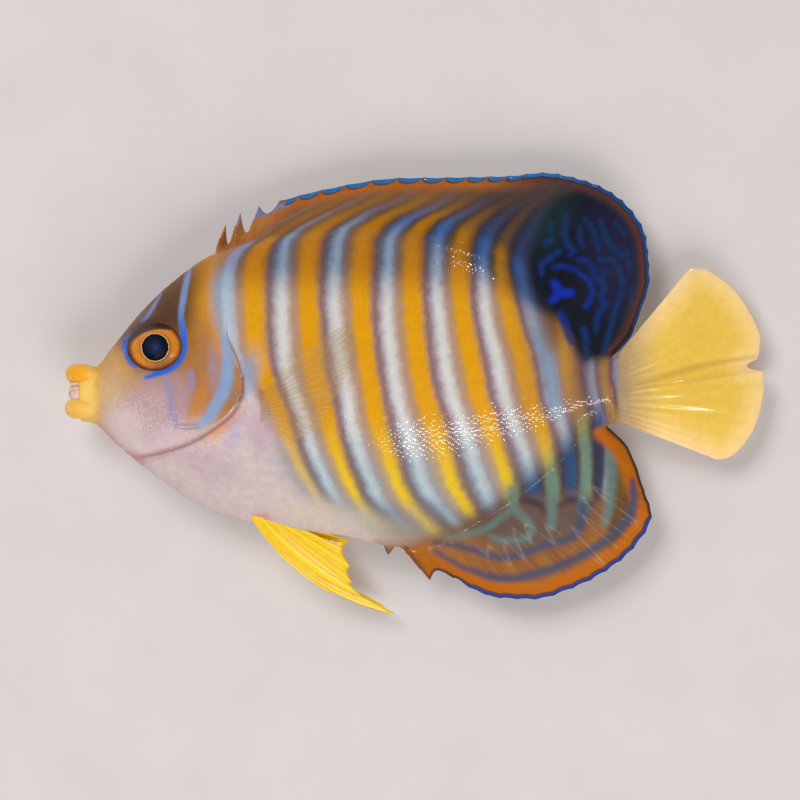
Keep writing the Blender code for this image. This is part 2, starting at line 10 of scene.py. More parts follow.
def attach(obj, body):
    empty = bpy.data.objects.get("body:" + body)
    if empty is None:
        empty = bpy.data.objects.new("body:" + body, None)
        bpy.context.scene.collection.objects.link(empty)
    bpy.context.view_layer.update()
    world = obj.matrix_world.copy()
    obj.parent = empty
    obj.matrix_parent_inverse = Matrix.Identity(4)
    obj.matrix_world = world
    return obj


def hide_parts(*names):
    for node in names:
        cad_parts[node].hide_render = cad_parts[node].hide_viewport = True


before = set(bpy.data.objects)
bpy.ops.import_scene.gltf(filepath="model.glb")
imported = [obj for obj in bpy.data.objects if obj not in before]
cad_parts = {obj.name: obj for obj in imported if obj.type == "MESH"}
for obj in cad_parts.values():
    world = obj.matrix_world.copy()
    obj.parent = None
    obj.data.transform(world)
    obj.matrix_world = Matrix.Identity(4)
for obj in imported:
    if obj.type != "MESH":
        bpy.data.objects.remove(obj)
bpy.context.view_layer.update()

# The fish lies on its right flank, head to -X and back to +Y. Sizes are millimetres until a mesh is made.
metre = 0.001
origin = (0.0252, 0.1626)  # the frame's origin in the fish's own plan
sides = ((1, "left"), (-1, "right"))  # the seen flank and the resting one


def ease(value, low, high):
    t = np.clip((np.asarray(value, float) - low) / (high - low), 0, 1)
    return t * t * (3 - 2 * t)


def knotCurve(knots, at, column=1):
    # cubic through the knots that never swings past them
    x, y = np.array(knots, float)[:, [0, column]].T
    step = np.diff(x)
    rise = np.diff(y) / step
    slope = np.concatenate([rise[:1], np.zeros(len(x) - 2), rise[-1:]])
    for i in range(1, len(x) - 1):
        if rise[i - 1] * rise[i] > 0:
            w1, w2 = 2 * step[i] + step[i - 1], step[i] + 2 * step[i - 1]
            slope[i] = (w1 + w2) / (w1 / rise[i - 1] + w2 / rise[i])
    at = np.clip(np.asarray(at, float), x[0], x[-1])
    i = np.clip(np.searchsorted(x, at, side="right") - 1, 0, len(x) - 2)
    t = (at - x[i]) / step[i]
    a = (1 + 2 * t) * (1 - t) ** 2 * y[i] + t * (1 - t) ** 2 * step[i] * slope[i]
    return a + t * t * (3 - 2 * t) * y[i + 1] + t * t * (t - 1) * step[i] * slope[i + 1]


def roundedLine(points, count):
    # the same line with even steps, rounded through the given points
    p = np.array(points, float)
    run = np.concatenate([[0.0], np.cumsum(np.hypot(*np.diff(p[:, :2], axis=0).T))])
    knots = np.column_stack([run, p])
    at = np.linspace(0.0, run[-1], count)
    return np.column_stack([knotCurve(knots, at, c + 1) for c in range(p.shape[1])])


def nearLine(line, x, y):
    # distance to a line, its side (positive to the left of its run), and how far along
    best = np.full(np.shape(x), 1e9)
    side = np.zeros(np.shape(x))
    share = np.zeros(np.shape(x))
    last = len(line) - 1
    for i in range(last):
        ax, ay = line[i][0], line[i][1]
        bx, by = line[i + 1][0], line[i + 1][1]
        t = np.clip(((x - ax) * (bx - ax) + (y - ay) * (by - ay)) / ((bx - ax) ** 2 + (by - ay) ** 2), 0, 1)
        d = np.hypot(x - ax - t * (bx - ax), y - ay - t * (by - ay))
        near = d < best
        best = np.where(near, d, best)
        side = np.where(near, np.sign((bx - ax) * (y - ay) - (by - ay) * (x - ax)), side)
        share = np.where(near, (i + t) / last, share)
    return best, side, share


def insideOf(outline, x, y):
    hit = np.zeros(np.shape(x), bool)
    for a, b in zip(outline, np.roll(outline, -1, axis=0)):
        if a[1] != b[1]:
            crosses = (a[1] > y) != (b[1] > y)
            hit ^= crosses & (x < (b[0] - a[0]) * (y - a[1]) / (b[1] - a[1]) + a[0])
    return hit


def signedOutline(outline, x, y):
    # distance to a closed outline, negative inside
    closed = np.vstack([outline, outline[:1]])
    d = nearLine(closed, x, y)[0]
    return np.where(insideOf(np.asarray(outline), x, y), -d, d)


def strokeField(lines, x, y, reach=1.5):
    # distance past the edge of the nearest stroke; each stroke is a list of (x, y, width)
    best = np.full(np.shape(x), reach)
    for stroke in lines:
        p = np.array(stroke, float)
        low = p[:, :2].min(axis=0) - reach
        high = p[:, :2].max(axis=0) + reach
        near = (x > low[0]) & (x < high[0]) & (y > low[1]) & (y < high[1])
        if not near.any():
            continue
        line = roundedLine(p, 4 * len(p)) if len(p) > 2 else p
        d, _, share = nearLine(line, x[near], y[near])
        width = np.interp(share, np.linspace(0, 1, len(line)), line[:, 2])
        best[near] = np.minimum(best[near], d - width / 2)
    return best


# Body: back and belly seen from the side, thickness along the fish, and the forms on the head.
body = dict(
    midHeight=6.75,
    halfWidth=7.25,
    backLine=[(-50.0, 2.3), (-49.5, 3.5), (-47.6, 4.35), (-45.7, 4.1), (-43.5, 6.6), (-39.4, 11.6),
              (-35.1, 15.8), (-28.8, 20.1), (-20.5, 22.3), (-10.1, 23.4), (-1.0, 22.95), (6.3, 21.6),
              (14.1, 17.8), (20.2, 11.6), (24.5, 6.5), (26.6, 5.3), (29.3, 5.2)],
    bellyLine=[(-50.0, -0.6), (-49.5, -2.4), (-48.0, -3.7), (-46.0, -4.1), (-42.5, -7.2), (-36.2, -12.3),
               (-29.4, -16.4), (-22.5, -18.3), (-10.1, -20.2), (-2.0, -21.7), (2.0, -20.9), (10.5, -16.7),
               (19.1, -10.4), (24.2, -5.5), (26.8, -4.2), (29.3, -4.0)],
    fullness=[(-50.0, 0.10), (-49.5, 0.21), (-48.0, 0.32), (-45.7, 0.42), (-42.0, 0.58), (-36.8, 0.77),
              (-30.0, 0.95), (-24.0, 0.98), (-15.0, 1.0), (-6.0, 0.985), (3.0, 0.87), (12.0, 0.66),
              (20.0, 0.40), (25.0, 0.27), (29.3, 0.17)],
    gillEdge=[(-28.7, 23.0), (-28.4, 18.0), (-27.6, 13.0), (-26.4, 7.8), (-25.0, 4.4), (-24.4, 1.3),
              (-25.4, -1.9), (-28.9, -5.0), (-32.5, -7.0), (-36.5, -8.2), (-40.0, -9.0), (-43.0, -9.8)],
    cheekRidge=[(-31.9, 9.3), (-31.3, 5.0), (-31.5, 0.0), (-32.5, -3.0), (-34.2, -4.9), (-37.9, -6.2)],
    spineLine=[(-34.6, -4.1), (-30.4, -4.2)],
    spineHollow=1.45,
    finHollow=1.05,
    skinDepth=0.06,
    floorGap=0.04,
    stalkEnd=28.2,
    stalkFall=1.1,  # slope of the flesh past the stalk's end
    eyeRim=(0.3, 0.22),  # forms of the head: height and half width
    cover=(0.22, 2.2),
    ridge=(0.2, 0.8),
    behindCover=(-0.24, 2.6),
    socket=1.5,
)
eye = dict(centre=(-36.8, 6.7), seen=(3.8, 3.25), size=(4.65, 3.98, 2.4), depth=1.4)
pectoral = dict(
    root=(-22.4, -1.8), rays=16, rightTurn=-68.0, lift=0.68,
    tips=[(0, -12.3, 8.8), (2, -10.0, 9.7), (4, -8.7, 7.1), (6, -9.2, 4.4), (8, -10.3, 1.3),
          (10, -12.0, -1.6), (12, -14.0, -4.8), (14, -17.0, -6.2), (15, -19.3, -5.6)],
)
gillLine = roundedLine(body["gillEdge"], 60)
ridgeLine = roundedLine(body["cheekRidge"], 24)


def turned(point, centre, degrees):
    c, s = math.cos(math.radians(degrees)), math.sin(math.radians(degrees))
    x, y = point[0] - centre[0], point[1] - centre[1]
    return centre[0] + c * x - s * y, centre[1] + s * x + c * y


def placeOn(knots, i):
    return knotCurve(knots, i), knotCurve(knots, i, 2)


def pectoralRoot(i):
    share = i / (pectoral["rays"] - 1)
    return pectoral["root"][0] - 0.2 + 0.5 * share, pectoral["root"][1] + 1.9 - 3.8 * share


pressedOutline = [pectoralRoot(0)] + [placeOn(pectoral["tips"], i) for i in range(0, 16, 3)] + [pectoralRoot(15)]
pressedOutline = np.array([turned(p, pectoral["root"], pectoral["rightTurn"]) for p in pressedOutline])


def pressedHollow(x, y):
    # where the folded right fin and the right cheek spine press into the resting flank
    d = np.maximum(signedOutline(pressedOutline, x, y), 0.0)
    spine = nearLine(body["spineLine"], x, y)[0]
    return np.maximum(body["finHollow"] * ease(d, 3.2, 1.5), body["spineHollow"] * ease(spine, 3.4, 1.6))


def smoothMax(a, b, blend):
    h = np.clip(0.5 + 0.5 * (a - b) / blend, 0, 1)
    return b + (a - b) * h + blend * h * (1 - h)


def hump(distance, width):
    return np.exp(-((distance / width) ** 2))


def swell(distance, form):
    height, width = body[form]
    return height * hump(distance, width)


def eyeRadius(x, y):
    # 1 on the rim of the eye as it is seen from above
    return np.hypot((x - eye["centre"][0]) / eye["seen"][0], (y - eye["centre"][1]) / eye["seen"][1])


def widestHeight(x, top, bottom):
    # where the section is widest between the back and the belly
    return bottom + (0.45 + 0.07 * ease(x, -44.0, -20.0)) * (top - bottom)


def trunkHalf(x, y, part=None):
    # half thickness of the flesh at a place in the plan, with the forms of the head
    top = knotCurve(body["backLine"], x)
    bottom = knotCurve(body["bellyLine"], x)
    centre = widestHeight(x, top, bottom)
    reach = np.where(y > centre, top - centre, centre - bottom)
    s = np.clip(np.abs(y - centre) / reach, 0, 1)
    lens = 0.52 + 0.14 * ease(x, -48.0, -26.0)
    plain = body["halfWidth"] * knotCurve(body["fullness"], x) * (1 - s * s) ** lens
    d, side, _ = nearLine(gillLine, x, y)
    fade = ease(y, 10.5, 7.0)
    r = eyeRadius(x, y)
    head = swell(r - 1.28, "eyeRim") + swell(d, "cover") * fade + swell(nearLine(ridgeLine, x, y)[0], "ridge")
    behind = swell(d, "behindCover") * fade
    step = {"head": 0.0, "eye": 0.0, "body": 1.0}.get(part, ease(d * side, -0.75, -0.3))  # the gill flap covers it
    if part != "eye":
        head = head - body["socket"] * ease(r, 1.04, 0.94)
    return plain + (head * (1 - step) + behind * step) * ease(1 - s, 0.0, 0.25)


def trunkReach(x, y):
    # how far a place lies outside the flesh in the plan (negative inside), for the back and the belly
    return np.maximum(y - knotCurve(body["backLine"], x), knotCurve(body["bellyLine"], x) - y)


def trunkSide(x, y, side, part=None):
    # height of the skin on the seen flank (side 1) or on the resting flank (side -1)
    half = trunkHalf(x, y, part) - body["skinDepth"]
    if side > 0:
        return body["midHeight"] + half
    return np.maximum(body["midHeight"] - half, pressedHollow(x, y) + body["floorGap"])


# Markings: each white bar's middle line from the back to the belly, then strokes as (x, y, width).
whiteBars = [
    [(-7.12, 32.34), (-9.4, 30.63), (-11.54, 29.2), (-13.39, 27.92), (-15.38, 26.78), (-17.52, 25.64), (-19.8, 24.5),
     (-21.65, 23.12), (-23.93, 21.79), (-25.78, 20.23), (-26.71, 18.38), (-26.92, 16.38), (-26.78, 13.53),
     (-26.57, 10.68), (-26.35, 7.83), (-25.5, 4.99), (-24.22, 2.14), (-23.36, -0.71), (-22.44, -3.56),
     (-21.15, -6.41), (-20.01, -9.26), (-18.23, -12.11), (-16.38, -14.96), (-13.39, -18.66), (-10.11, -23.5),
     (-5.84, -32.05)],
    [(-0.85, 32.34), (-2.28, 31.48), (-4.42, 30.06), (-7.12, 28.63), (-9.83, 27.25), (-13.11, 25.64), (-15.88, 24.22),
     (-17.81, 22.85), (-18.8, 21.08), (-18.95, 18.95), (-18.95, 16.38), (-18.8, 10.68), (-18.52, 4.99),
     (-17.95, 2.14), (-16.81, -0.71), (-15.67, -3.56), (-15.03, -6.41), (-14.03, -9.26), (-12.82, -12.11),
     (-11.25, -14.96), (-9.12, -18.09), (-7.26, -21.37), (-4.42, -26.35), (-1.57, -32.05)],
    [(4.27, 32.34), (1.71, 30.34), (-0.74, 28.92), (-3.22, 27.52), (-6.55, 26.15), (-8.73, 24.79), (-10.4, 23.65),
     (-11.17, 21.79), (-11.4, 19.52), (-11.61, 16.38), (-11.25, 10.68), (-10.54, 4.99), (-9.54, -0.71),
     (-9.26, -3.56), (-8.55, -6.41), (-7.69, -9.26), (-6.55, -12.11), (-5.27, -14.96), (-3.56, -16.67),
     (-1.57, -18.95), (0.57, -21.79), (3.42, -26.35), (6.27, -32.05)],
    [(10.26, 32.62), (8.4, 30.91), (6.41, 29.49), (4.5, 28.06), (1.74, 26.42), (-1.01, 25.07), (-2.93, 23.36),
     (-3.85, 21.65), (-3.92, 19.52), (-4.06, 16.38), (-3.99, 10.68), (-3.42, 4.99), (-2.49, -0.71), (-1.85, -3.28),
     (-0.93, -6.41), (-0.07, -9.26), (0.71, -12.11), (2.42, -14.96), (4.42, -17.09), (6.98, -19.52), (9.83, -23.5),
     (11.97, -27.78), (13.39, -32.05)],
    [(16.95, 32.34), (14.53, 30.34), (12.39, 28.92), (9.97, 27.52), (6.98, 25.93), (4.27, 24.22), (3.06, 22.08),
     (2.92, 19.23), (2.85, 16.38), (3.42, 10.68), (3.99, 4.99), (5.27, -0.71), (6.41, -3.56), (7.26, -6.41),
     (8.12, -9.26), (9.12, -12.11), (10.26, -14.96), (11.18, -17.09), (13.39, -20.66), (16.24, -25.64),
     (18.38, -32.05)],
    [(22.65, 32.05), (19.09, 29.91), (15.81, 27.64), (13.82, 26.5), (11.77, 24.5), (10.34, 22.36), (9.69, 19.94),
     (9.62, 15.95), (10.07, 10.68), (11.5, 4.99), (12.68, -0.71), (13.77, -3.56), (14.76, -6.41), (15.74, -9.26),
     (16.61, -12.11), (17.24, -14.96), (18.8, -17.81), (21.23, -22.79), (24.07, -32.05)],
    [(24.79, 32.34), (22.08, 30.2), (19.94, 28.49), (18.48, 26.78), (17.24, 24.93), (15.95, 23.08), (14.96, 20.85),
     (14.67, 18.38), (15.24, 15.95), (15.95, 13.39), (16.81, 10.54), (17.81, 7.69), (18.66, 4.84), (19.16, 2.14),
     (19.59, -0.71), (20.66, -3.56), (21.51, -6.41), (22.08, -9.26), (22.22, -12.11), (22.36, -14.67),
     (22.93, -17.81), (24.79, -23.5), (27.64, -32.05)],
    [(35.47, 32.34), (33.05, 29.91), (29.34, 22.08), (26.35, 13.53), (25.07, 7.83), (24.86, 3.56), (25.5, -0.71),
     (26.35, -3.56), (26.35, -9.26), (26.78, -14.96), (27.92, -23.5), (30.48, -32.05)],
]


def barPhase(x, y):
    # whole numbers on the white bars, halves on the yellow ones
    lines = [knotCurve(sorted((p[1], p[0]) for p in bar), y) for bar in whiteBars]
    phase = np.maximum(1 + (x - lines[0]) / 5.6, 0.8)
    for k in range(len(lines) - 1):
        share = (x - lines[k]) / (lines[k + 1] - lines[k])
        phase = np.where(share > 0, k + 1 + np.clip(share, 0, 1), phase)
    return np.where(x > lines[-1], 8 + (x - lines[-1]) / np.where(y > -5, 3.7, 6.4), phase)


eyeSpot = [(23.93, 4.84), (22.65, 6.41), (21.79, 8.4), (20.66, 10.4), (19.09, 11.54), (17.81, 12.39), (16.81, 13.96),
    (16.24, 16.24), (16.1, 18.95), (16.52, 20.8), (17.52, 22.65), (18.38, 24.79), (19.23, 26.78), (20.8, 28.35),
    (23.36, 29.2), (25.78, 28.35), (28.06, 26.78), (29.77, 24.93), (30.91, 22.65), (31.48, 20.37), (31.62, 17.81),
    (31.34, 15.24), (30.63, 13.11), (29.91, 10.97), (29.2, 8.69), (27.92, 6.55), (26.07, 5.13)]
strokes = dict(
    maze=[
        [(20.37, 20.51, 0.71), (18.95, 19.37, 0.77), (17.81, 18.38, 0.71), (17.95, 17.24, 0.57)],
        [(19.66, 18.23, 0.48), (20.94, 18.38, 0.54), (22.08, 18.09, 0.51), (22.79, 17.81, 0.43)],
        [(19.66, 15.95, 1), (20.23, 15.1, 1.21), (20.66, 14.53, 1.21), (22.08, 14.53, 1)],
        [(20.23, 15.1, 1.14), (19.94, 13.96, 1), (19.23, 13.39, 0.85)],
        [(21.37, 22.65, 0.71), (21.51, 21.65, 0.91), (22.36, 20.66, 0.91), (22.08, 20.09, 0.71)],
        [(23.36, 23.93, 0.57), (23.5, 22.08, 0.66), (23.79, 21.23, 0.57)],
        [(24.22, 25.07, 0.57), (25.21, 23.65, 0.71), (25.78, 22.08, 0.71), (26.07, 20.8, 0.63)],
        [(26.35, 24.93, 0.57), (27.07, 22.93, 0.71), (27.78, 21.23, 0.74), (29.06, 20.51, 0.71),
         (29.49, 19.66, 0.57)],
        [(23.22, 19.37, 0.71), (24.22, 19.23, 0.71)],
        [(26.21, 19.37, 0.63), (27.78, 19.37, 0.71), (28.92, 17.95, 0.71), (29.49, 15.81, 0.77), (29.2, 13.96, 0.71),
         (28.49, 12.25, 0.71), (28.06, 10.68, 0.71), (27.78, 9.4, 0.63)],
        [(25.36, 16.95, 0.63), (26.35, 16.38, 0.71), (26.78, 14.96, 0.71), (26.35, 13.96, 0.71), (27.07, 12.96, 0.71),
         (26.35, 11.97, 0.71), (25.78, 10.68, 0.71), (25.64, 9.12, 0.57)],
        [(23.36, 17.38, 0.57), (24.64, 16.24, 0.63), (25.21, 14.81, 0.63), (24.79, 13.53, 0.63),
         (24.22, 12.54, 0.57)],
        [(24.93, 18.38, 0.71), (25.36, 17.95, 0.71)],
        [(26.78, 17.66, 0.71), (26.92, 17.52, 0.71)],
        [(23.93, 9.4, 0.8), (24.22, 7.83, 0.91), (24.22, 5.41, 0.71)],
        [(27.64, 9.12, 0.71), (27.21, 7.41, 0.8), (26.78, 5.98, 0.71)],
        [(20.51, 11.54, 0.71), (21.23, 10.11, 1.14), (21.65, 8.69, 1.14), (22.08, 7.41, 0.71)],
        [(19.23, 22.08, 0.85), (18.52, 21.65, 0.85)],
        [(21.37, 25.78, 0.66), (21.37, 23.93, 0.8), (21.08, 22.93, 0.71)],
        [(19.23, 24.5, 0.57), (19.09, 23.36, 0.57)],
        [(28.63, 24.5, 0.51), (29.91, 22.93, 0.57)],
        [(30.34, 19.23, 0.57), (30.63, 17.95, 0.57)],
        [(30.63, 15.1, 0.51), (30.91, 13.11, 0.51)],
        [(30.06, 20.51, 0.48), (30.48, 18.8, 0.48)],
    ],
    blue=[
        [(-33.11, 10.68, 0.71), (-32.81, 8.69, 1), (-32.71, 6.61, 1.05), (-33.42, 4.79, 1.05), (-34.76, 3.66, 1),
         (-36.37, 3.05, 0.85), (-38.19, 2.42, 0.51)],
        [(-41.17, 7.26, 0.43), (-41.03, 5.84, 0.57), (-40.31, 4.56, 0.63), (-39.6, 3.99, 0.43)],
        [(-40.74, 8.55, 0.28), (-41.31, 7.69, 0.43), (-41.6, 6.41, 0.28)],
        [(-32.19, 18.09, 0.57), (-32.48, 16.67, 0.85), (-32.76, 15.1, 0.91), (-32.98, 13.53, 0.91),
         (-33.19, 11.54, 0.85), (-33.26, 9.97, 0.57)],
        [(-36.32, 14.39, 0.28), (-37.46, 12.25, 0.51), (-38.32, 10.97, 0.51), (-38.89, 10.4, 0.28)],
    ],
    violet=[
        [(-35.33, 2.56, 0.57), (-34.76, 0.57, 0.71), (-34.53, -1.57, 0.71), (-34.13, -3.13, 0.71),
         (-33.76, -4.42, 0.57)],
        [(-31.62, 3.13, 0.71), (-31.62, 1.99, 0.85), (-31.62, 1, 0.71)],
    ],
    gillBlue=[
        [(-27.07, 8.12, 0.57), (-26.78, 6.7, 1.28), (-26.5, 4.99, 1.57), (-26.64, 2.56, 1.71), (-27.07, 0.57, 1.71),
         (-28.21, -1.57, 1.57), (-29.49, -3.42, 1.14), (-31.05, -4.42, 0.57)],
    ],
    teal=[
        [(13.68, -13.53, 1.28), (13.68, -15.24, 1.14), (14.1, -16.38, 1), (15.1, -17.24, 1), (16.1, -18.23, 0.85),
         (16.52, -19.37, 0.85), (15.81, -20.37, 0.71), (14.1, -20.8, 0.71), (11.97, -20.66, 0.71),
         (10.68, -20.09, 0.43)],
        [(3.42, -19.8, 0.57), (5.56, -20.23, 0.71), (7.41, -19.8, 0.71), (9.12, -19.37, 0.71), (10.68, -18.66, 0.71),
         (11.82, -17.66, 0.71), (13.11, -16.81, 0.85)],
        [(19.23, -11.25, 1.14), (19.37, -13.53, 1.42), (19.37, -15.67, 1.28), (19.37, -17.52, 1.14),
         (19.37, -18.8, 0.85)],
        [(23.93, -6.41, 1), (24.36, -9.26, 1.14), (24.22, -11.82, 1.14), (23.93, -14.25, 1.14),
         (23.79, -16.38, 1.14)],
        [(27.92, -5.84, 1), (28.06, -8.55, 1.28), (28.06, -10.68, 1.28), (27.78, -13.25, 1.28), (27.64, -15.67, 1.14),
         (27.21, -17.52, 1), (26.78, -18.38, 0.71)],
    ],
    slate=[
        [(23.79, -15.81, 1.14), (23.65, -17.81, 1.14), (22.93, -19.52, 1.14), (21.37, -20.66, 1),
         (19.09, -21.23, 0.85), (16.67, -22.08, 0.85), (14.39, -22.93, 0.85), (12.39, -23.22, 0.85),
         (10.26, -22.79, 0.78), (7.69, -21.94, 0.71), (5.13, -21.37, 0.57), (2.85, -21.08, 0.43)],
        [(30.91, -12.39, 0.71), (31.13, -14.96, 1.14), (30.77, -17.09, 1.14), (29.49, -18.8, 1), (27.92, -20.09, 1),
         (26.35, -21.37, 1.05), (24.5, -22.51, 1.05), (22.22, -23.65, 1.05), (19.94, -24.64, 1.05),
         (17.66, -25.36, 1), (15.38, -25.93, 1), (13.11, -26.21, 0.91), (10.54, -25.93, 0.85), (8.4, -25.21, 0.71),
         (6.27, -24.36, 0.64), (4.27, -23.22, 0.5), (2.85, -22.36, 0.43)],
    ],
    dark=[
        [(26.21, -5.27, 1.14), (26.35, -7.83, 1.71), (26.21, -10.4, 1.71), (25.93, -12.82, 1.28),
         (25.78, -14.67, 0.71)],
        [(20.51, -15.67, 0.71), (22.22, -14.96, 1.14), (25.07, -15.53, 0.85)],
        [(15.1, -14.96, 0.85), (17.38, -15.53, 1.14), (18.52, -16.67, 0.71)],
    ],
    caps=[
        [(-25.07, 25.78, 0.21), (-25.5, 25.21, 0.71), (-25.57, 24.64, 0.71)],
        [(-22.36, 26.84, 0.21), (-22.65, 26.21, 0.85), (-21.94, 25.85, 0.71), (-21.23, 25.93, 0.43)],
        [(-22.65, 26.07, 0.85), (-23.22, 25.28, 0.43)],
        [(-20.23, 26.28, 0.36), (-19.66, 27.07, 0.71), (-18.8, 27.09, 0.48), (-18.09, 27.21, 0.21)],
    ],
    # a darker line along the tail's fold: painted shade in the crease
    crease=[
        [(31.34, 1.42, 0.28), (34.76, 2.42, 0.71), (39.03, 3.7, 0.85), (43.3, 4.7, 0.57), (48.58, 5.41, 0.28)],
    ],
)


def blob(x, y, spot):
    # a soft oval patch: middle, half width, half height, turn in degrees
    cx, cy, rx, ry, turn = spot
    u, v = turned((x - cx, y - cy), (0, 0), -turn)
    return np.exp(-(((u / rx) ** 2 + (v / ry) ** 2) ** 1.5))


def writeField(mesh, name, values, kind="FLOAT", key="value"):
    layer = mesh.attributes.new(name, kind, "POINT")
    layer.data.foreach_set(key, np.ascontiguousarray(values, dtype=np.float32).ravel())


farAway = 30.0


def marginDistance(name, x, y):
    # distance to a fin's outer edge, farAway where that fin is not near
    line = finMargins[name]
    near = np.full(len(x), farAway)
    low, high = line.min(axis=0) - 6, line.max(axis=0) + 6
    inside = (x > low[0]) & (x < high[0]) & (y > low[1]) & (y < high[1])
    near[inside] = np.minimum(nearLine(line, x[inside], y[inside])[0], farAway)
    return near


patches = dict(  # soft oval patches: middle, half width, half height, turn in degrees
    underSpot=(18.9, 9.2, 1.6, 3.6, 14), rearBelly=(-2.4, -19.3, 5.0, 1.7, -14), cream=(-13.5, -17.0, 9.0, 2.4, -12),
    haze=(28.5, 19.0, 5.2, 9.5, 12), greenish=(19.6, 25.0, 2.6, 5.2, -24), lilac=(-25.6, -5.2, 1.2, 2.8, -14),
)
blueFrom = [(-16, 27.5), (-10, 25.6), (-3.7, 24.0), (3, 21.4), (9.5, 18.1), (15.5, 12.4), (20, 8.5)]


def paintFields(mesh, x, y, onTail=0.0, blueEdge=farAway):
    # every marking as a number at each vertex; the skin material turns them into colour
    rimDorsal, rimAnal = marginDistance("rimDorsal", x, y), marginDistance("rimAnal", x, y)
    finOut = np.where(y > 0, y - knotCurve(body["backLine"], x), knotCurve(body["bellyLine"], x) - y)
    pastStalk = x - tail["start"]
    finOut = np.where(pastStalk > 0, np.maximum(finOut, 0.6 * pastStalk), finOut)
    inFin = ease(finOut, -0.4, 0.8)
    above, below = (y > 0) * 1.0, (y < -3) * (x > -6)
    browning = np.interp(x, *zip(*anal["brownFrom"]))
    blueing = y - np.interp(x, *zip(*blueFrom))
    behind = ease(x, 8.0, 22.0)
    gill = nearLine(gillLine, x, y)
    aft = gill[0] * gill[1]
    belly = signedOutline(paleBelly, x, y)
    phase = barPhase(x, y)
    fields = {
        "bar": phase,
        "spot": signedOutline(roundedLine(eyeSpot + eyeSpot[:1], 90)[:-1], x, y),
        **{name: strokeField(lines, x, y) for name, lines in strokes.items()},
        **{name: blob(x, y, spot) for name, spot in patches.items()},
        "mazeTone": 0.25 + 0.75 * hump(x - 21.4, 5.0) * hump(y - 14.6, 5.5),
        "rimDorsal": rimDorsal,
        "rimAnal": rimAnal,
        "rimTail": marginDistance("rimTail", x, y),
        "blueEdge": blueEdge + 0 * x,
        "lowBars": ease(y, -1.5, -12.5),
        "lowestBars": ease(y, -13.6, -17.0) * ease(x, 7.0, 2.0),
        "highBars": ease(y, 12.5, 19.0),
        "blueBars": ease(x, -15.0, -4.0) * ease(blueing, -2.6, 2.6),
        "rearBars": ease(x, 20.0, 23.0) * ease(y, -9.0, -5.5),
        "farBars": ease(x, 10.0, 16.5) * ease(blueing, 1.0, 6.5),
        "firstBar": ease(phase, 1.2, 1.08) * (x < -20) * (x > -30) * ease(y, 2.0, 6.0),
        "firstTop": ease(phase, 1.22, 1.08) * (x < -18) * ease(y, 16.0, 20.0),
        "napeSide": ease(phase, 0.99, 0.86) * (x < -18) * ease(y, 15.0, 20.0),
        "frontWeb": blob(x, y, (-24.6, 24.0, 4.6, 1.9, 28)) * ease(finOut, -0.3, 0.6),
        "lastBar": ease(np.abs(phase - 7), 0.24, 0.1) * ease(y, 13.0, 8.0) * ease(y, -6.0, 0.0),
        "deepBars": ease(-16.0 + 0.92 * (x - 10.5) - y, -3.2, 3.6) * ease(x, 6.5, 10.0) * ease(x, 27.6, 26.2),
        "rearShade": ease(x, 10.0, 17.0) * ease(y, -9.0, -3.0) * ease(x, 28.0, 24.0),
        "innerBrown": ease(rimAnal, 4.4, 9.0) * ease(-y, browning - 2.6, browning + 1.6) * below,
        "chest": blob(x, y, (-21.6, -4.9, 2.4, 3.4, 10)) + 0.8 * blob(x, y, (-29.6, -9.8, 5.0, 2.2, -26)),
        "veil": ease(rimDorsal, 7.8, 2.4) * inFin * above,
        "dusky": ease(x, -1.0, 13.0) * ease(finOut, 0.1, 3.5) * above,
        "brown": ease(-y, browning - 2.4, browning + 1.6) * below * ease(finOut, -2.8, 0.4),
        "rearBrown": ease(x, 26.6, 28.2) * below * ease(finOut, -0.5, 0.8),
        "analRim": ease(rimAnal, 3.0, 1.7) * inFin * below,
        "analFront": ease(x, 3.6, 1.0) * inFin * (y < -15),
        "frontRim": ease(rimDorsal, 2.9, 0.9) * inFin * above * (1 - behind),
        "rearRim": ease(rimDorsal, 1.9, 0.9) * inFin * above * behind,
        "nape": ease(y, 7.5, 13.0),
        "tail": ease(x, 28.6, 31.5) * onTail,
        "tailRoot": ease(x, 28.2, 29.3) * ease(x, 36.0, 29.5) * onTail,
        "pale": ease(belly, 1.2, -1.2),
        "barEnds": hump(belly - 0.4, 1.7) * ease(y, -5.0, -8.0) * ease(x, 2.0, -6.0),
        # blue-grey behind the gill cover: the first bar's tone, deepened as painted shade under the flap
        "greyShadeBehindGill": blob(x, y, (-23.9, 2.4, 1.7, 4.0, -18)) * (aft > 0.0),
        "film": 1 - 0.9 * ease(finOut, 0.0, 2.0) * below,
        # a reddish-brown line along the gill cover's edge, partly painted shade that also darkens the flap's lit rim
        "coverEdgeShade": ease(gill[0], 0.5, 0.2) * ease(y, -14.0, -10.0) * ease(y, 8.5, 6.0),
        "analSide": (y < -3) * 1.0,
        "rearSide": ease(x, 18.0, 26.0),
        "ember": blob(x, y, (-27.2, -4.4, 3.4, 1.0, 40)) * (aft > -0.1),
        "blush": blob(x, y, (-21.8, -17.3, 1.5, 0.6, -6)) + blob(x, y, (-40.0, -8.7, 1.6, 0.7, -14)),
        # pale flecks on the cheek and along the gill edge: partly pearly pigment, partly painted highlight standing in
        # for glints
        "glintFlecks": np.maximum(blob(x, y, (-37.4, -3.2, 6.2, 3.2, -20)), 0.9 * blob(x, y, (-27.6, -6.4, 5.5, 1.0, 26))),
    }
    for name, values in fields.items():
        writeField(mesh, name, values)
    colour = np.tile(np.array([*toLinear("8a5a2a"), 0.0]), (len(x), 1))
    for hexColour, strength, spot in groundSpots:
        share = np.clip(strength * blob(x, y, spot), 0, 1)[:, None]
        colour[:, :3] += (np.array(toLinear(hexColour)) - colour[:, :3]) * share
    d, side, _ = nearLine(headEdge, x, y)
    soft = 0.2 + 1.3 * ease(y, 6.0, 9.0)
    colour[:, 3] = 1 - np.where(x > -20, 1.0, ease(d * side / soft, -0.8, 0.8))
    writeField(mesh, "ground", colour, "FLOAT_COLOR", "color")


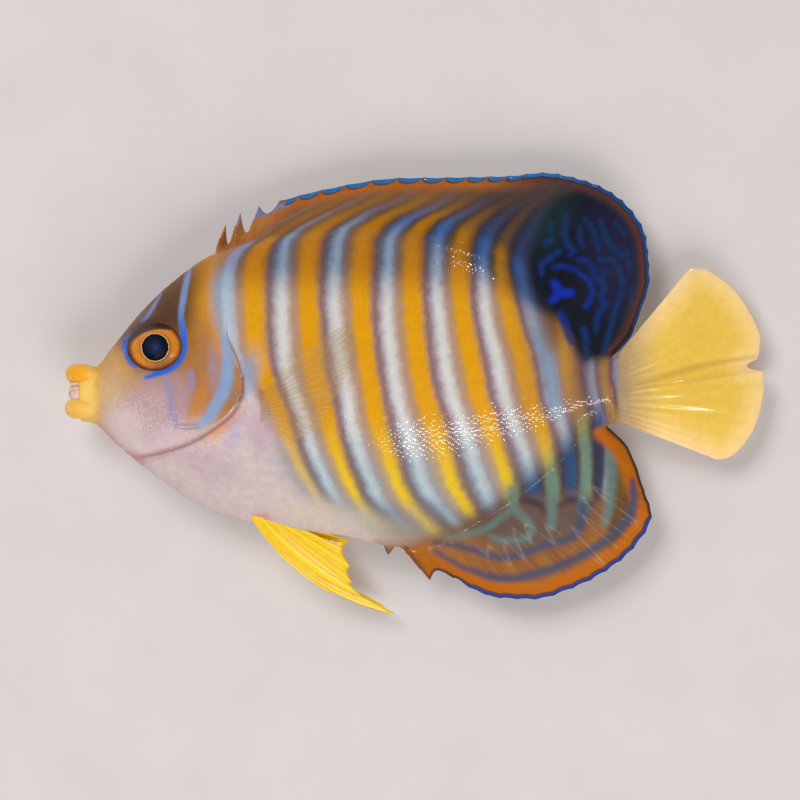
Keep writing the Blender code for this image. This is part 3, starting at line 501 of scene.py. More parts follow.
def toLinear(text):
    # sRGB hex to the linear values that a shader socket takes
    parts = [int(text[i:i + 2], 16) / 255 for i in (0, 2, 4)]
    return [p / 12.92 if p <= 0.04045 else ((p + 0.055) / 1.055) ** 2.4 for p in parts]


def sectionPoint(x, angle, side, part=None):
    # a place on the skin: along the fish, and round its section from the back (0) to the belly (pi)
    top = knotCurve(body["backLine"], x) - body["skinDepth"]
    bottom = knotCurve(body["bellyLine"], x) + body["skinDepth"]
    centre = widestHeight(x, top, bottom)
    c = np.cos(angle)
    y = centre + np.where(c > 0, top - centre, centre - bottom) * c
    return y, trunkSide(x, y, side, part)


def addPiece(name, mesh):
    piece = bpy.data.objects.new(name, mesh)
    bpy.context.scene.collection.objects.link(piece)
    return piece


def addMesh(name, points, faces, shift=origin):
    # points in the fish's own millimetres become a mesh in the frame
    mesh = bpy.data.meshes.new(name)
    mesh.from_pydata(((np.array(points, float) - (*shift, 0.0)) * metre).tolist(), [], faces)
    mesh.polygons.foreach_set("use_smooth", [True] * len(mesh.polygons))
    mesh.update()
    return addPiece(name, mesh)


def gridFaces(rows, columns, start=0, closed=False, flip=False):
    r, c = np.meshgrid(np.arange(rows - 1), np.arange(columns if closed else columns - 1), indexing="ij")
    a = (start + r * columns + c).ravel()
    b = (start + r * columns + (c + 1) % columns).ravel()
    faces = np.column_stack([a, b, b + columns, a + columns])
    return (faces[:, ::-1] if flip else faces).tolist()


# Soft colours of the head, laid over each other: colour, strength, (x, y, half width, half height, turn).
groundSpots = [
    ("a87028", 1.0, (-34, 10, 40, 40, 0)),
    ("d48e1c", 1.0, (-28.6, 14, 2.9, 10.5, 12)),
    ("b88060", 0.6, (-26.9, 12.0, 0.9, 7.0, 4)),
    ("5e3c1c", 0.95, (-35.8, 13.0, 3.6, 8.5, -38)),
    ("50342a", 0.85, (-34.6, 10.4, 2.8, 3.6, -30)),
    ("7a5c4c", 0.8, (-40.4, 10.2, 1.5, 4.6, -36)),
    ("b89a9c", 1.0, (-37.0, -2.4, 7.4, 6.0, -14)),
    ("ad8c90", 0.8, (-33.4, -0.8, 2.4, 4.4, 10)),
    ("aa7444", 0.9, (-30.2, 4.0, 1.7, 6.5, -4)),
    ("c07c3c", 0.95, (-31.0, -2.0, 1.0, 4.6, -20)),
    ("a28694", 0.75, (-28.4, 3.4, 1.0, 4.0, 4)),
    ("cc9c60", 1.0, (-42.2, 4.0, 2.2, 3.4, 36)),
    ("ccaa84", 0.85, (-43.4, 0.6, 2.2, 3.2, 20)),
    ("ccb8b8", 0.95, (-41.2, -3.8, 3.4, 2.4, -28)),
    ("ccb4b8", 0.95, (-35.0, -6.6, 7.4, 2.6, 16)),
    ("d2bcbc", 0.9, (-40.6, -6.6, 4.6, 1.8, -38)),
    ("4a2c18", 0.8, (-37.6, 9.5, 3.6, 1.4, 14)),
    ("6a4426", 0.5, (-36.8, 6.7, 4.6, 4.1, 0)),
    ("9c7658", 0.9, (-25.8, 1.0, 1.0, 4.6, 8)),
    ("f0b83a", 1.0, (-48.0, 0.6, 3.1, 7.0, 0)),
    ("ecc468", 0.85, (-46.4, -0.6, 1.2, 3.6, 4)),
]
headEdge = roundedLine([(-15.1, 31.34), (-21.08, 27.35), (-24.36, 24.64), (-26.78, 22.08), (-28.35, 18.95),
    (-28.92, 14.96), (-28.49, 10.68), (-27.64, 8.4), (-26.5, 6.7), (-25.36, 4.56), (-24.5, 2.56), (-24.29, 1),
    (-24.5, -0.28), (-25.78, -1.85), (-27.35, -3.42), (-29.2, -4.63), (-30.77, -5.56), (-32.48, -6.98),
    (-34.47, -8.55), (-37.18, -9.4), (-40.74, -10.68)], 80)
paleBelly = np.array([(-26.21, 0.43), (-24.22, -0.43), (-21.94, -1.42), (-20.37, -3.85), (-19.37, -6.7),
    (-18.66, -9.54), (-16.95, -12.39), (-14.96, -14.67), (-11.97, -16.24), (-8.55, -17.81), (-3.99, -19.52),
    (1.99, -21.51), (3.42, -29.2), (-45.01, -29.2), (-45.01, -7.83), (-30.77, -4.99)])


# Fins: ray tips and roots by ray number, how the sheet lies, how deep the edge is cut between rays, and how
# far a ray bows.
def rimRoot(fin, i):
    # a ray's root on the back or the belly, inset into the flesh
    x = knotCurve(fin["roots"], i)
    return x, knotCurve(body[fin["line"]], x) + fin["inset"]


dorsal = dict(
    rays=32, perRay=11, rows=64, spines=14, line="backLine", inset=-3.0, edgeThick=0.52, rim="rimDorsal",
    edgeRows=(62, 58),
    tips=[(0, -27.2, 24.4), (1, -25.1, 26.1), (3, -19.5, 27.8), (5, -13.4, 29.4), (8, -2.3, 31.1),
          (10, 4.6, 31.2), (13, 13.4, 31.4), (15, 18.2, 31.9), (18, 24.4, 30.7), (21, 29.6, 27.9),
          (24, 33.0, 22.5), (27, 33.5, 16.5), (29, 31.9, 11.2), (30, 30.8, 8.4), (31, 29.1, 6.3)],
    roots=[(0, -28.4), (13, 3.5), (14, 5.6), (31, 24.6)],
    root=lambda i: rimRoot(dorsal, i),
    lay=lambda x, y, i, v: -2.1 * v * v + 0.18 * v * np.sin(1.1 * i),
    notch=lambda i: np.where(i > 3, 0.01, np.where(i > 2, 0.17, np.where(i > 1, 0.41, 0.5))),
    bow=lambda i: (0.5 + 0.02 * i) * (1 - ease(i, 26.0, 31.0)),
    # the blue edge swells between spines and is pinched at their tips; the first three spines have caps instead
    blueWidth=lambda i, x, y: np.where(i < 3.3, 0.03, np.where(
        i > 14, 0.5 - 0.16 * ease(i, 22, 28), 0.16 + 0.46 * np.sin(np.pi * (i - np.floor(i))) ** 0.6)),
)
anal = dict(
    rays=21, perRay=14, rows=64, spines=3, line="bellyLine", inset=3.0, edgeThick=0.52, rim="rimAnal",
    edgeRows=(21, 58),
    tips=[(0, -4.0, -22.9), (1, 2.0, -26.5), (2, 5.3, -26.2), (3, 7.7, -27.6), (5, 12.0, -29.1),
          (7, 17.0, -29.3), (9, 22.5, -27.7), (11, 27.3, -25.2), (13, 31.2, -22.0), (15, 33.8, -17.4),
          (17, 32.7, -13.6), (19, 30.3, -7.4), (20, 27.9, -4.9)],
    roots=[(0, -4.3), (1, -2.4), (2, -0.4), (3, 1.3), (20, 25.6)],
    root=lambda i: rimRoot(anal, i),
    lay=lambda x, y, i, v: -2.2 * v * v + 0.15 * v * np.sin(1.3 * i),
    notch=lambda i: np.where(i < 1, 0.62, np.where(i < 2, 0.16, 0.012)),
    bow=lambda i: -0.5,
    blueWidth=lambda i, x, y: 0.03 + 0.46 * ease(x, 5.0, 9.0) * ease(y, -16.8, -17.6),
    brownFrom=[(-6, 21.4), (0, 20.4), (5, 18.4), (10, 17.0), (14, 15.8), (20, 15.2), (30, 14.4)],
)
tail = dict(
    rays=17, perRay=14, rows=96, edgeThick=0.5, edgeRows=(32, 32), start=29.3,
    tips=[(0, 39.3, 18.2), (1, 41.3, 18.1), (2, 43.3, 17.1), (3, 45.5, 15.4), (4, 47.2, 13.2),
          (5, 48.5, 10.9), (6, 49.5, 8.2), (7, 49.3, 6.2), (8, 49.1, 5.2), (9, 50.0, 3.4),
          (10, 50.0, 1.0), (11, 49.5, -2.0), (12, 48.5, -4.9), (13, 47.1, -7.1), (14, 45.8, -8.4),
          (15, 44.6, -9.1), (16, 43.3, -9.3)],
    root=lambda i: (27.7 + 0 * i, 4.5 - 7.9 * i / 16),
    lay=lambda x, y, i, v: -3.2 * v ** 1.5 - 0.55 * v * hump(i - 8, 1.3),  # a crease along ray 8
    notch=lambda i: np.where(np.abs(i - 8.5) < 0.6, 0.09, 0.002),
    bow=lambda i: 0.0,
)


def pelvicFin(rise, fall, power, tips):
    # a narrow fan at the belly that droops towards the floor
    return dict(
        rays=6, perRay=16, rows=70, edgeThick=0.5, tips=tips,
        root=lambda i: (-24.0 + 0.75 * i, -16.6 - 0.1 * i),
        lay=lambda x, y, i, v: rise - fall * (np.hypot(x + 22.5, y + 17.0) / 24.5) ** power,
        notch=lambda i: 0.05 + 0 * i,
        bow=lambda i: -2.8 * np.maximum(0.0, 1 - np.abs(i - 1) / 1.6),
    )


pelvics = {
    1: pelvicFin(1.15, 5.6, 1.2, [(0, -12.5, -28.2), (1, -2.8, -31.6), (2, -8.0, -28.6), (3, -9.1, -26.8),
                                  (4, -9.4, -24.5), (5, -10.5, -21.8)]),
    -1: pelvicFin(-1.15, 4.7, 1.1, [(0, -13.2, -27.2), (1, -4.4, -30.5), (2, -8.8, -28.0), (3, -9.8, -26.2),
                                    (4, -10.2, -24.0), (5, -9.6, -20.8)]),
}


def finPlan(fin, i, v):
    # place in the plan of ray number i (a fraction lies on the skin between rays) at share v of its length
    ax, ay = fin["root"](i)
    bx, by = placeOn(fin["tips"], i)
    pull = fin["notch"](np.floor(i) + 0.5) * np.sin(np.pi * (i - np.floor(i)))
    bx, by = bx + (ax - bx) * pull, by + (ay - by) * pull
    run = np.hypot(bx - ax, by - ay)
    out = 4 * v * (1 - v) * fin["bow"](i)
    return ax + (bx - ax) * v - (by - ay) / run * out, ay + (by - ay) * v + (bx - ax) / run * out


def finGrid(fin):
    columns = (fin["rays"] - 1) * fin["perRay"] + 1
    i = np.repeat(np.arange(columns) / fin["perRay"], fin["rows"])
    return np.minimum(i, fin["rays"] - 1 - 1e-9), np.tile(np.linspace(0, 1, fin["rows"]), columns)


finMargins = {}
for name, fin in (("rimDorsal", dorsal), ("rimAnal", anal), ("rimTail", tail)):
    edge = np.column_stack(finPlan(fin, *finGrid(fin))).reshape(-1, fin["rows"], 2)
    first, last = fin["edgeRows"]
    finMargins[name] = np.vstack([edge[0][first:], edge[:, -1][::2], edge[-1][last:][::-1]])


def softFlesh(x, y):
    # the flank's half thickness, eased round the edge of the trunk so that a fin can flow out of it
    total = -body["skinDepth"] - 0.05
    for step, share in ((-0.9, 0.12), (-0.45, 0.23), (0.0, 0.3), (0.45, 0.23), (0.9, 0.12)):
        total = total + share * (trunkHalf(x, y + step, "body") - 4.0 * np.maximum(trunkReach(x, y + step), 0))
    return total - body["stalkFall"] * np.maximum(x - body["stalkEnd"], 0)


def layFin(fin, i, v, side, blend=2.2):
    # one face of a fin: its sheet with the rays standing out, flowing into the flesh at the root
    x, y = finPlan(fin, i, v)
    sheet = body["midHeight"] + fin["lay"](x, y, i, v)
    thick = np.where(i < (14 if "spines" in fin else 0), 1.15, 0.95) * (1 - v) + fin["edgeThick"] * v
    spiny = np.round(i) < fin.get("spines", 0)
    rise = np.where(spiny, 0.3, 0.08) * (0.35 + 0.65 * ease(v, 0.35, 0.7)) if "spines" in fin else 0.22
    ray = hump(i - np.round(i), np.where(spiny, 0.20, 0.30))
    half = 0.5 * thick * (0.6 + rise * ray) * (1 - 0.55 * ease(v, 0.97, 1.0))
    if side > 0:
        return x, y, smoothMax(sheet + half, body["midHeight"] + softFlesh(x, y), blend)
    flesh = np.maximum(body["midHeight"] - softFlesh(x, y), pressedHollow(x, y) + 0.09)
    return x, y, np.maximum(-smoothMax(half - sheet, -flesh, blend), 0.05)


def sheetFaces(columns, rows, closed=False):
    # two faces of a thin sheet and the wall between them, which may stay open along the root
    count = columns * rows
    ring = list(range(rows)) + [k * rows + rows - 1 for k in range(1, columns)]
    ring += [count - 1 - k for k in range(1, rows)]
    if closed:
        ring += [k * rows for k in range(columns - 2, -1, -1)]
    wall = [(a, b, b + count, a + count) for a, b in zip(ring, ring[1:])]
    return gridFaces(columns, rows, 0, flip=True) + gridFaces(columns, rows, count) + wall


def both(values):
    # the same numbers for the upper and the lower face
    return np.concatenate([values, values])


def makeFin(name, fin, blend=2.2):
    i, v = finGrid(fin)
    x, y, top = layFin(fin, i, v, 1, blend)
    low = np.minimum(layFin(fin, i, v, -1, blend)[2], top - 0.05)
    points = np.column_stack([both(x), both(y), np.concatenate([top, low])])
    piece = addMesh(name, points, sheetFaces(len(i) // fin["rows"], fin["rows"]))
    writeField(piece.data, "ray", both(np.abs(i - np.round(i)) * 2))
    streak = np.column_stack([both(i) * 9, both(v) * 2.2, both(i) * 0])  # long fibres along the rays
    writeField(piece.data, "streak", streak, "FLOAT_VECTOR", "vector")
    edge = np.full(len(i), farAway)
    if "blueWidth" in fin:
        edge = np.minimum(marginDistance(fin["rim"], x, y) / fin["blueWidth"](i, x, y), farAway)
    paintFields(piece.data, both(x), both(y), float(fin is tail), both(edge))
    return piece


def recalcNormals(piece):
    work = bmesh.new()
    work.from_mesh(piece.data)
    bmesh.ops.recalc_face_normals(work, faces=work.faces)
    work.to_mesh(piece.data)
    work.free()


def makeSkin():
    # one closed skin over head, body and tail stalk
    sizes = dict(mouth=-47.7, gill=-23.5, end=28.3, headStep=0.17, bodyStep=0.36, upper=250, lower=64)
    rest = np.linspace(sizes["gill"], sizes["end"], int((sizes["end"] - sizes["gill"]) / sizes["bodyStep"]))
    xs = np.concatenate([np.arange(sizes["mouth"], sizes["gill"], sizes["headStep"]), rest])
    angle = np.concatenate([np.linspace(0, np.pi, sizes["upper"] + 1)[:-1],
                            np.pi + np.linspace(0, np.pi, sizes["lower"] + 1)[:-1]])
    x, a = np.meshgrid(xs, angle, indexing="ij")
    y, upper = sectionPoint(x, a, 1)
    z = np.where(angle < np.pi, upper, trunkSide(x, y, -1))
    middle = body["midHeight"]
    z[:, (angle == 0) | (np.abs(angle - np.pi) < 1e-9)] = middle
    points = np.column_stack([x.ravel(), y.ravel(), z.ravel()])
    ring = len(angle)
    count = len(points)
    faces = gridFaces(len(xs), ring, closed=True)
    # the snout turns inwards behind the lips, and the stalk's end closes inside the tail fin
    first, last = points[:ring], points[-ring:]
    snout, stalkEnd = (0, 0.7, middle), (0, 0, middle)
    inner = [snout + (first - snout) * (1, share, share) + (goIn, 0, 0)
             for share, goIn in ((0.86, -0.18), (0.6, -0.1), (0.3, 0.5), (0.1, 1.3))]
    capRing = stalkEnd + (last - stalkEnd) * (1, 0.9, 0.5) + (0.1, 0, 0)
    points = np.vstack([points, *inner, (-45.9, 0.7, middle), capRing, (sizes["end"] + 0.1, 0.5, middle)])
    starts = [0] + [count + k * ring for k in range(4)]
    pole = count + 4 * ring
    cap = pole + 1
    for k in range(ring):
        after = (k + 1) % ring
        faces += [(a0 + after, a0 + k, b0 + k, b0 + after) for a0, b0 in zip(starts, starts[1:])]
        faces += [(pole, starts[-1] + after, starts[-1] + k), (cap + ring, cap + k, cap + after)]
        faces.append((count - ring + k, count - ring + after, cap + after, cap + k))
    piece = addMesh("skin", points, faces)
    recalcNormals(piece)
    paintFields(piece.data, points[:, 0], points[:, 1], 1.0)
    return piece


gillFlap = dict(  # from the root on the cheek over the free edge and back under it
    inward=[3.2, 2.8, 2.3, 1.8, 1.3, 0.9, 0.55, 0.3, 0.14, 0.05, 0.0, 0.0, 0.1, 0.5, 1.2],
    lift=[-0.12, -0.02, 0.03, 0.04, 0.05, 0.05, 0.05, 0.04, 0.0, -0.07, -0.16, -0.24, -0.3, -0.42, -0.7],
)


def makeGillFlap(name, side):
    # the gill cover's free edge: a thin flap whose rear edge follows the gill line
    line = roundedLine(body["gillEdge"], 240)
    run = np.gradient(line, axis=0)
    run /= np.hypot(run[:, 0], run[:, 1])[:, None]
    headward = np.column_stack([run[:, 1], -run[:, 0]])
    keep = (trunkReach(line[:, 0], line[:, 1]) < -0.3) & (line[:, 1] < 8.6)
    points = []
    for inward, lift in zip(gillFlap["inward"], gillFlap["lift"]):
        x, y = (line + headward * inward)[keep].T
        z = body["midHeight"] + side * (trunkHalf(x, y, "head") - body["skinDepth"] + lift)
        points.append(np.column_stack([x, y, z if side > 0 else np.maximum(z, 0.05 + pressedHollow(x, y))]))
    points = np.vstack(points)
    piece = addMesh(name, points, gridFaces(len(gillFlap["inward"]), keep.sum(), flip=side < 0))
    paintFields(piece.data, points[:, 0], points[:, 1])
    return piece


def makeTube(name, path, radii, around=20, squash=1.0, wave=None):
    # a soft rope of flesh through the points of the path, rounded at both ends
    path = np.array(path, float)
    run = np.gradient(path, axis=0)
    run /= np.linalg.norm(run, axis=1)[:, None]
    points = []
    for k, (p, r) in enumerate(zip(path, radii)):
        across = np.cross(run[k], (0.0, 0.0, 1.0))
        size = np.linalg.norm(across)
        across = across / size if size > 0.2 else np.array([0.0, 1.0, 0.0])
        lift = np.cross(across, run[k])
        for t in np.arange(around) * 2 * math.pi / around:
            grow = 1 + (wave(k / (len(path) - 1), t) if wave else 0)
            points.append(p + r * grow * (math.cos(t) * across + squash * math.sin(t) * lift))
    return closeTube(name, points, around, path[0], path[-1])


def closeTube(name, points, around, start, end):
    # rings of points become a closed mesh with a pole at either end
    base = len(points) - around
    faces = gridFaces(len(points) // around, around, closed=True)
    faces += [(base + around, (j + 1) % around, j) for j in range(around)]
    faces += [(base + around + 1, base + j, base + (j + 1) % around) for j in range(around)]
    piece = addMesh(name, [*points, start, end], faces)
    recalcNormals(piece)
    return piece


lips = dict(
    upper=[(-44.0, 1.8, 0.9, 0.3), (-45.3, 2.5, 1.3, 0.9), (-46.4, 2.95, 1.66, 1.2), (-47.4, 3.02, 1.45, 1.36),
           (-48.2, 3.02, 0.9, 1.4), (-48.56, 3.0, 0.0, 1.4)],
    lower=[(-44.2, -1.1, 0.9, 0.3), (-45.4, -1.6, 1.3, 1.0), (-46.5, -1.9, 1.62, 1.32), (-47.4, -1.92, 1.42, 1.46),
           (-48.2, -1.9, 0.9, 1.48), (-48.6, -1.9, 0.0, 1.48)],
)


def makeLip(name, half):
    half = np.array(half)
    steps, around = 90, 28
    path = roundedLine(np.vstack([half, half[-2::-1] * (1, 1, -1, 1)]), steps)
    share = 1 - np.abs(np.linspace(-1, 1, steps))  # 0 at the corners of the mouth, 1 in front
    radii = path[:, 3] * np.sqrt(1 - (1 - np.clip(share * 6, 0, 1)) ** 2 * 0.96)
    piece = makeTube(name, path[:, :3] + (0, 0, body["midHeight"]), radii, around,
                     wave=lambda s, t: 0.012 * math.sin(38 * s + 2 * t))
    writeField(piece.data, "share", np.concatenate([np.repeat(share, around), [0.0, 0.0]]))
    return piece


def makeMouthCorner(name, side):
    # soft pad that joins the lips behind the corner of the mouth
    t = np.linspace(-0.985, 0.985, 32)
    path = np.column_stack([-46.3 + 0.5 * t ** 2, 0.35 + 2.75 * t, np.full(32, body["midHeight"] + side * 1.2)])
    piece = makeTube(name, path, 1.72 * np.sqrt(1 - np.abs(t) ** 2.6), 32, 0.92)
    writeField(piece.data, "share", np.full(32 * 32 + 2, 0.25))
    return piece


def makeMouth():
    # pale soft tissue filling the half-open mouth between the lips
    rows, around, middle = 26, 56, body["midHeight"]
    points = []
    for s in np.arange(rows) / (rows - 1):
        grow = math.sin(min(1.0, s / 0.3) * math.pi / 2) ** 0.6
        for t in np.arange(around) * 2 * math.pi / around:
            fold = 1 - 0.4 * hump(math.cos(t) * 1.3 - 0.25, 0.22) * (1 - s)
            points.append((-49.55 + 4.0 * s + 0.2 * abs(math.sin(t)), 0.25 + 1.7 * grow * math.cos(t),
                           middle + 2.0 * grow * fold * math.sin(t)))
    piece = closeTube("mouth_lining", points, around, (-49.55, 0.25, middle), (-45.4, 0.25, middle))
    writeField(piece.data, "share", [p[1] for p in points] + [0.25, 0.25])
    return piece


def instanceTree(name, inputs):
    # geometry nodes that set a shape on every point: the tree, its named inputs' identifiers, and its ends
    tree = bpy.data.node_groups.new(name, "GeometryNodeTree")
    tree.interface.new_socket("Geometry", in_out="INPUT", socket_type="NodeSocketGeometry")
    ids = [tree.interface.new_socket(label, in_out="INPUT", socket_type="NodeSocket" + kind).identifier
           for label, kind in inputs.items()]
    tree.interface.new_socket("Geometry", in_out="OUTPUT", socket_type="NodeSocketGeometry")
    return tree, ids, addNode(tree, "NodeGroupInput"), addNode(tree, "NodeGroupOutput")


def endTree(tree, enter, leave, links):
    put = addNode(tree, "GeometryNodeInstanceOnPoints", {"Points": enter.outputs["Geometry"], **links})
    real = addNode(tree, "GeometryNodeRealizeInstances", {"Geometry": put})
    done = addNode(tree, "GeometryNodeSetMaterial", {"Geometry": real, "Material": enter.outputs["Material"]})
    feed(tree, leave, (done,))


def growPiece(carrier, tree, ids, values, name):
    # runs a tree on a carrier's points and keeps the result as a plain mesh
    modifier = carrier.modifiers.new("grow", "NODES")
    modifier.node_group = tree
    for key, value in zip(ids, values):
        modifier[key] = value
    graph = bpy.context.evaluated_depsgraph_get()
    mesh = bpy.data.meshes.new_from_object(carrier.evaluated_get(graph))
    bpy.data.objects.remove(carrier, do_unlink=True)
    mesh.name = name
    mesh.polygons.foreach_set("use_smooth", [True] * len(mesh.polygons))
    return addPiece(name, mesh)


teeth = dict(long=0.0005, wide=0.00007, seed=7, rows=[  # count, height, half width, half depth, lean
    (58, 1.75, 1.75, 1.95, -1.0), (50, -0.6, 1.6, 1.8, 1.0)])


def makeTeeth():
    # two fine combs of bristle teeth, set inside the lips with geometry nodes
    rng = random.Random(teeth["seed"])
    points, leans = [], []
    for count, y, rx, rz, lean in teeth["rows"]:
        for k in range(count):
            t = math.pi * (k / (count - 1) - 0.5)
            points.append((-47.6 - rx * math.cos(t), y + 0.06 * rng.uniform(-1, 1),
                           body["midHeight"] + rz * math.sin(t)))
        leans += [lean] * count
    carrier = addMesh("teeth", points, [])
    writeField(carrier.data, "lean", leans)
    tree, ids, enter, leave = instanceTree("toothComb", {
        "Tooth Length": "Float", "Tooth Width": "Float", "Material": "Material"})
    cone = addNode(tree, "GeometryNodeMeshCone", {
        "Vertices": 6, "Radius Top": 0.00002, "Radius Bottom": enter.outputs["Tooth Width"],
        "Depth": enter.outputs["Tooth Length"]}, fill_type="NONE")
    lean = addNode(tree, "GeometryNodeInputNamedAttribute", {"Name": "lean"}, data_type="FLOAT")
    turn = addNode(tree, "Math", (lean, -1.35), operation="MULTIPLY")
    jitter = addNode(tree, "FunctionNodeRandomValue", {"Min": -0.12, "Max": 0.12, "Seed": 4}, data_type="FLOAT")
    angles = addNode(tree, "CombineXYZ", (turn, jitter))
    endTree(tree, enter, leave, {"Instance": cone, "Rotation": angles})
    return growPiece(carrier, tree, ids, (teeth["long"], teeth["wide"], materials["tooth"]), "teeth")


def makeEye(name, side):
    # globe with a domed round pupil, a dished oval iris and a raised rim; its edge follows the slope of the head
    cx, cy = eye["centre"]
    wide, high, deep = eye["size"]
    half = float(trunkHalf(np.array(cx), np.array(cy), "eye"))
    around, rows = 96, 44
    # s runs from the middle of the pupil to the globe's widest line
    s, k = np.meshgrid(np.linspace(0, 1, rows), np.arange(around), indexing="ij")
    t = 2 * np.pi * k / around
    x, y = wide * 0.985 * s * np.cos(t), high * 0.985 * s * np.sin(t)
    ring = s + (np.hypot(x, y) / (wide * 0.985) - s) * (1 - ease(s, 0.45, 0.8))
    dome = np.sqrt(np.maximum(0.0, 1 - (0.93 * s) ** 2))
    dish = 0.10 * hump(ring - 0.42, 0.045) - 0.12 * ease(ring, 0.42, 0.52) * (1 - ease(ring, 0.75, 0.95))
    slope = trunkHalf(cx + x, cy + y, "eye") - half
    lift = half - eye["depth"] + deep * dome + dish - 0.05 + np.minimum(slope, 0.25) * s
    globe = np.column_stack([(cx + x).ravel(), (cy + y).ravel(), (body["midHeight"] + side * lift).ravel()])
    behind, pole = body["midHeight"] + side * (half - eye["depth"] - np.array([0.9, 1.2]))
    back = globe[-around:] * (0.8, 0.8, 0) + (0.2 * cx, 0.2 * cy, behind)
    points = np.vstack([globe, back, (cx, cy, pole)])
    base = rows * around
    faces = gridFaces(rows + 1, around, closed=True, flip=side < 0)
    faces += [(base + j, len(points) - 1, base + (j + 1) % around) for j in range(around)]
    piece = addMesh(name, points, faces)
    recalcNormals(piece)
    writeField(piece.data, "radial", np.concatenate([ring.ravel(), np.full(around + 1, 1.1)]))
    return piece


def makePectoral(name, side):
    perRay, rows, rays = 12, 60, pectoral["rays"]
    columns = (rays - 1) * perRay + 1
    i = np.repeat(np.arange(columns) / perRay, rows)
    v = np.tile(np.linspace(0, 1, rows), columns)
    (ax, ay), (bx, by) = pectoralRoot(i), placeOn(pectoral["tips"], i)
    long = v * (1 - 0.012 * np.sin(np.pi * (i - np.floor(i))))
    x, y = ax + (bx - ax) * long, ay + (by - ay) * long
    off = np.abs(i - np.round(i)) * 2
    fork = 1 - ease(np.abs(off - 0.45 * ease(v, 0.45, 1.0)), 0.0, 0.34)
    half = 0.5 * (0.09 + (0.24 * (1 - v) + 0.1) * fork)
    rooted = ease(v, -0.1, 0.14)
    if side > 0:
        rise = pectoral["lift"] * (2.6 * rooted - 1.6) + 0.4 * ease(v, 0.1, 0.7) + 0.07 * np.sin(2.2 * i + 5 * v) * v
        z = trunkSide(x, y, 1, "body") + rise
    else:
        x, y = turned((x, y), pectoral["root"], pectoral["rightTurn"])
        z = trunkSide(x, y, -1, "body") - pectoral["lift"] * (2.2 * rooted - 1.2) + 0.02
        z = np.maximum(z, 0.06 + half)
    points = np.column_stack([both(x), both(y), np.concatenate([z + half, z - half])])
    piece = addMesh(name, points, sheetFaces(columns, rows, closed=True))
    recalcNormals(piece)
    writeField(piece.data, "fork", both(fork))
    return piece


def makeCheekSpine(name, side):
    t = np.linspace(0, 1, 33)
    x, y = -34.6 + 4.2 * t, -4.35 - 0.12 * np.sin(math.pi * t) - 0.05 * t
    z = trunkSide(x, y, side, "head") + side * (0.3 - 0.62 * (1 - ease(t, 0.0, 0.5)))
    radii = (0.24 * (1 - t) ** 0.6 + 0.04) * np.where(t == 1, 0.2, 1)
    return makeTube(name, np.column_stack([x, y, z]), radii, 16, 0.8)


scales = dict(
    long=0.92, wide=1.16, lift=0.034, outward=0.008, stepAlong=0.46, stepAcross=0.84, headSize=0.66,
    finSize=0.72, finPitch=0.66, finRows=34, reach=4.2,  # rows that climb the fins
    gillGap=0.3, eyeGap=1.22, spineGap=0.55, floorGap=0.02,
    shiftAlong=0.04, shiftRound=0.002, tilt=0.018, spread=(0.94, 1.06), seed=11,
    patch=0.003, mapShare=0.46, mapLength=80.0,  # the bake map: a scale's patch, and the flank's share of the map
)


def scalePlate():
    # one overlapping scale: sunk at the root, crowned, free at the rounded rear edge
    side = [(-0.34, 0.36, -0.075), (0.06, 0.5, -0.02), (0.34, 0.36, 0.03), (0.49, 0.13, 0.05)]
    outline = [(-0.5, 0.0, -0.09)] + side + [(x, -y, z) for x, y, z in side[::-1]]
    count = len(outline)
    faces = [(k, count, (k + 1) % count) for k in range(count)]
    faces += [(k, (k + 1) % count, count + 1) for k in range(count)]
    points = np.array(outline + [(0.16, 0.0, 0.062), (0.1, 0.0, -0.1)])
    piece = addMesh("scale_plate", points * (scales["long"], scales["wide"], scales["lift"] / 0.055), faces, (0, 0))
    recalcNormals(piece)
    for edge in piece.data.edges:
        edge.use_edge_sharp = max(edge.vertices) < count  # the rim stays crisp, the crown is smooth
    return piece


def finHeight(x, y, side):
    # height of the dorsal or anal fin's face at a place in the plan, far away where there is no fin
    result = np.full(len(x), -99.0 * side)
    for fin, here in ((dorsal, y > 5), (anal, (y < -3) & (x > -6))):
        fx, fy, face = layFin(fin, *finGrid(fin), side)
        tree = kdtree.KDTree(len(fx))
        for k in range(len(fx)):
            tree.insert((fx[k], fy[k], 0), k)
        tree.balance()
        for k in np.nonzero(here)[0]:
            near = tree.find_n((x[k], y[k], 0), 5)
            if near[0][2] < 0.3:
                weight = [1 / (n[2] + 0.02) ** 2 for n in near]
                result[k] = sum(w * face[n[1]] for w, n in zip(weight, near)) / sum(weight)
    return result


def unit(vectors):
    return vectors / (np.linalg.norm(vectors, axis=1)[:, None] + 1e-12)


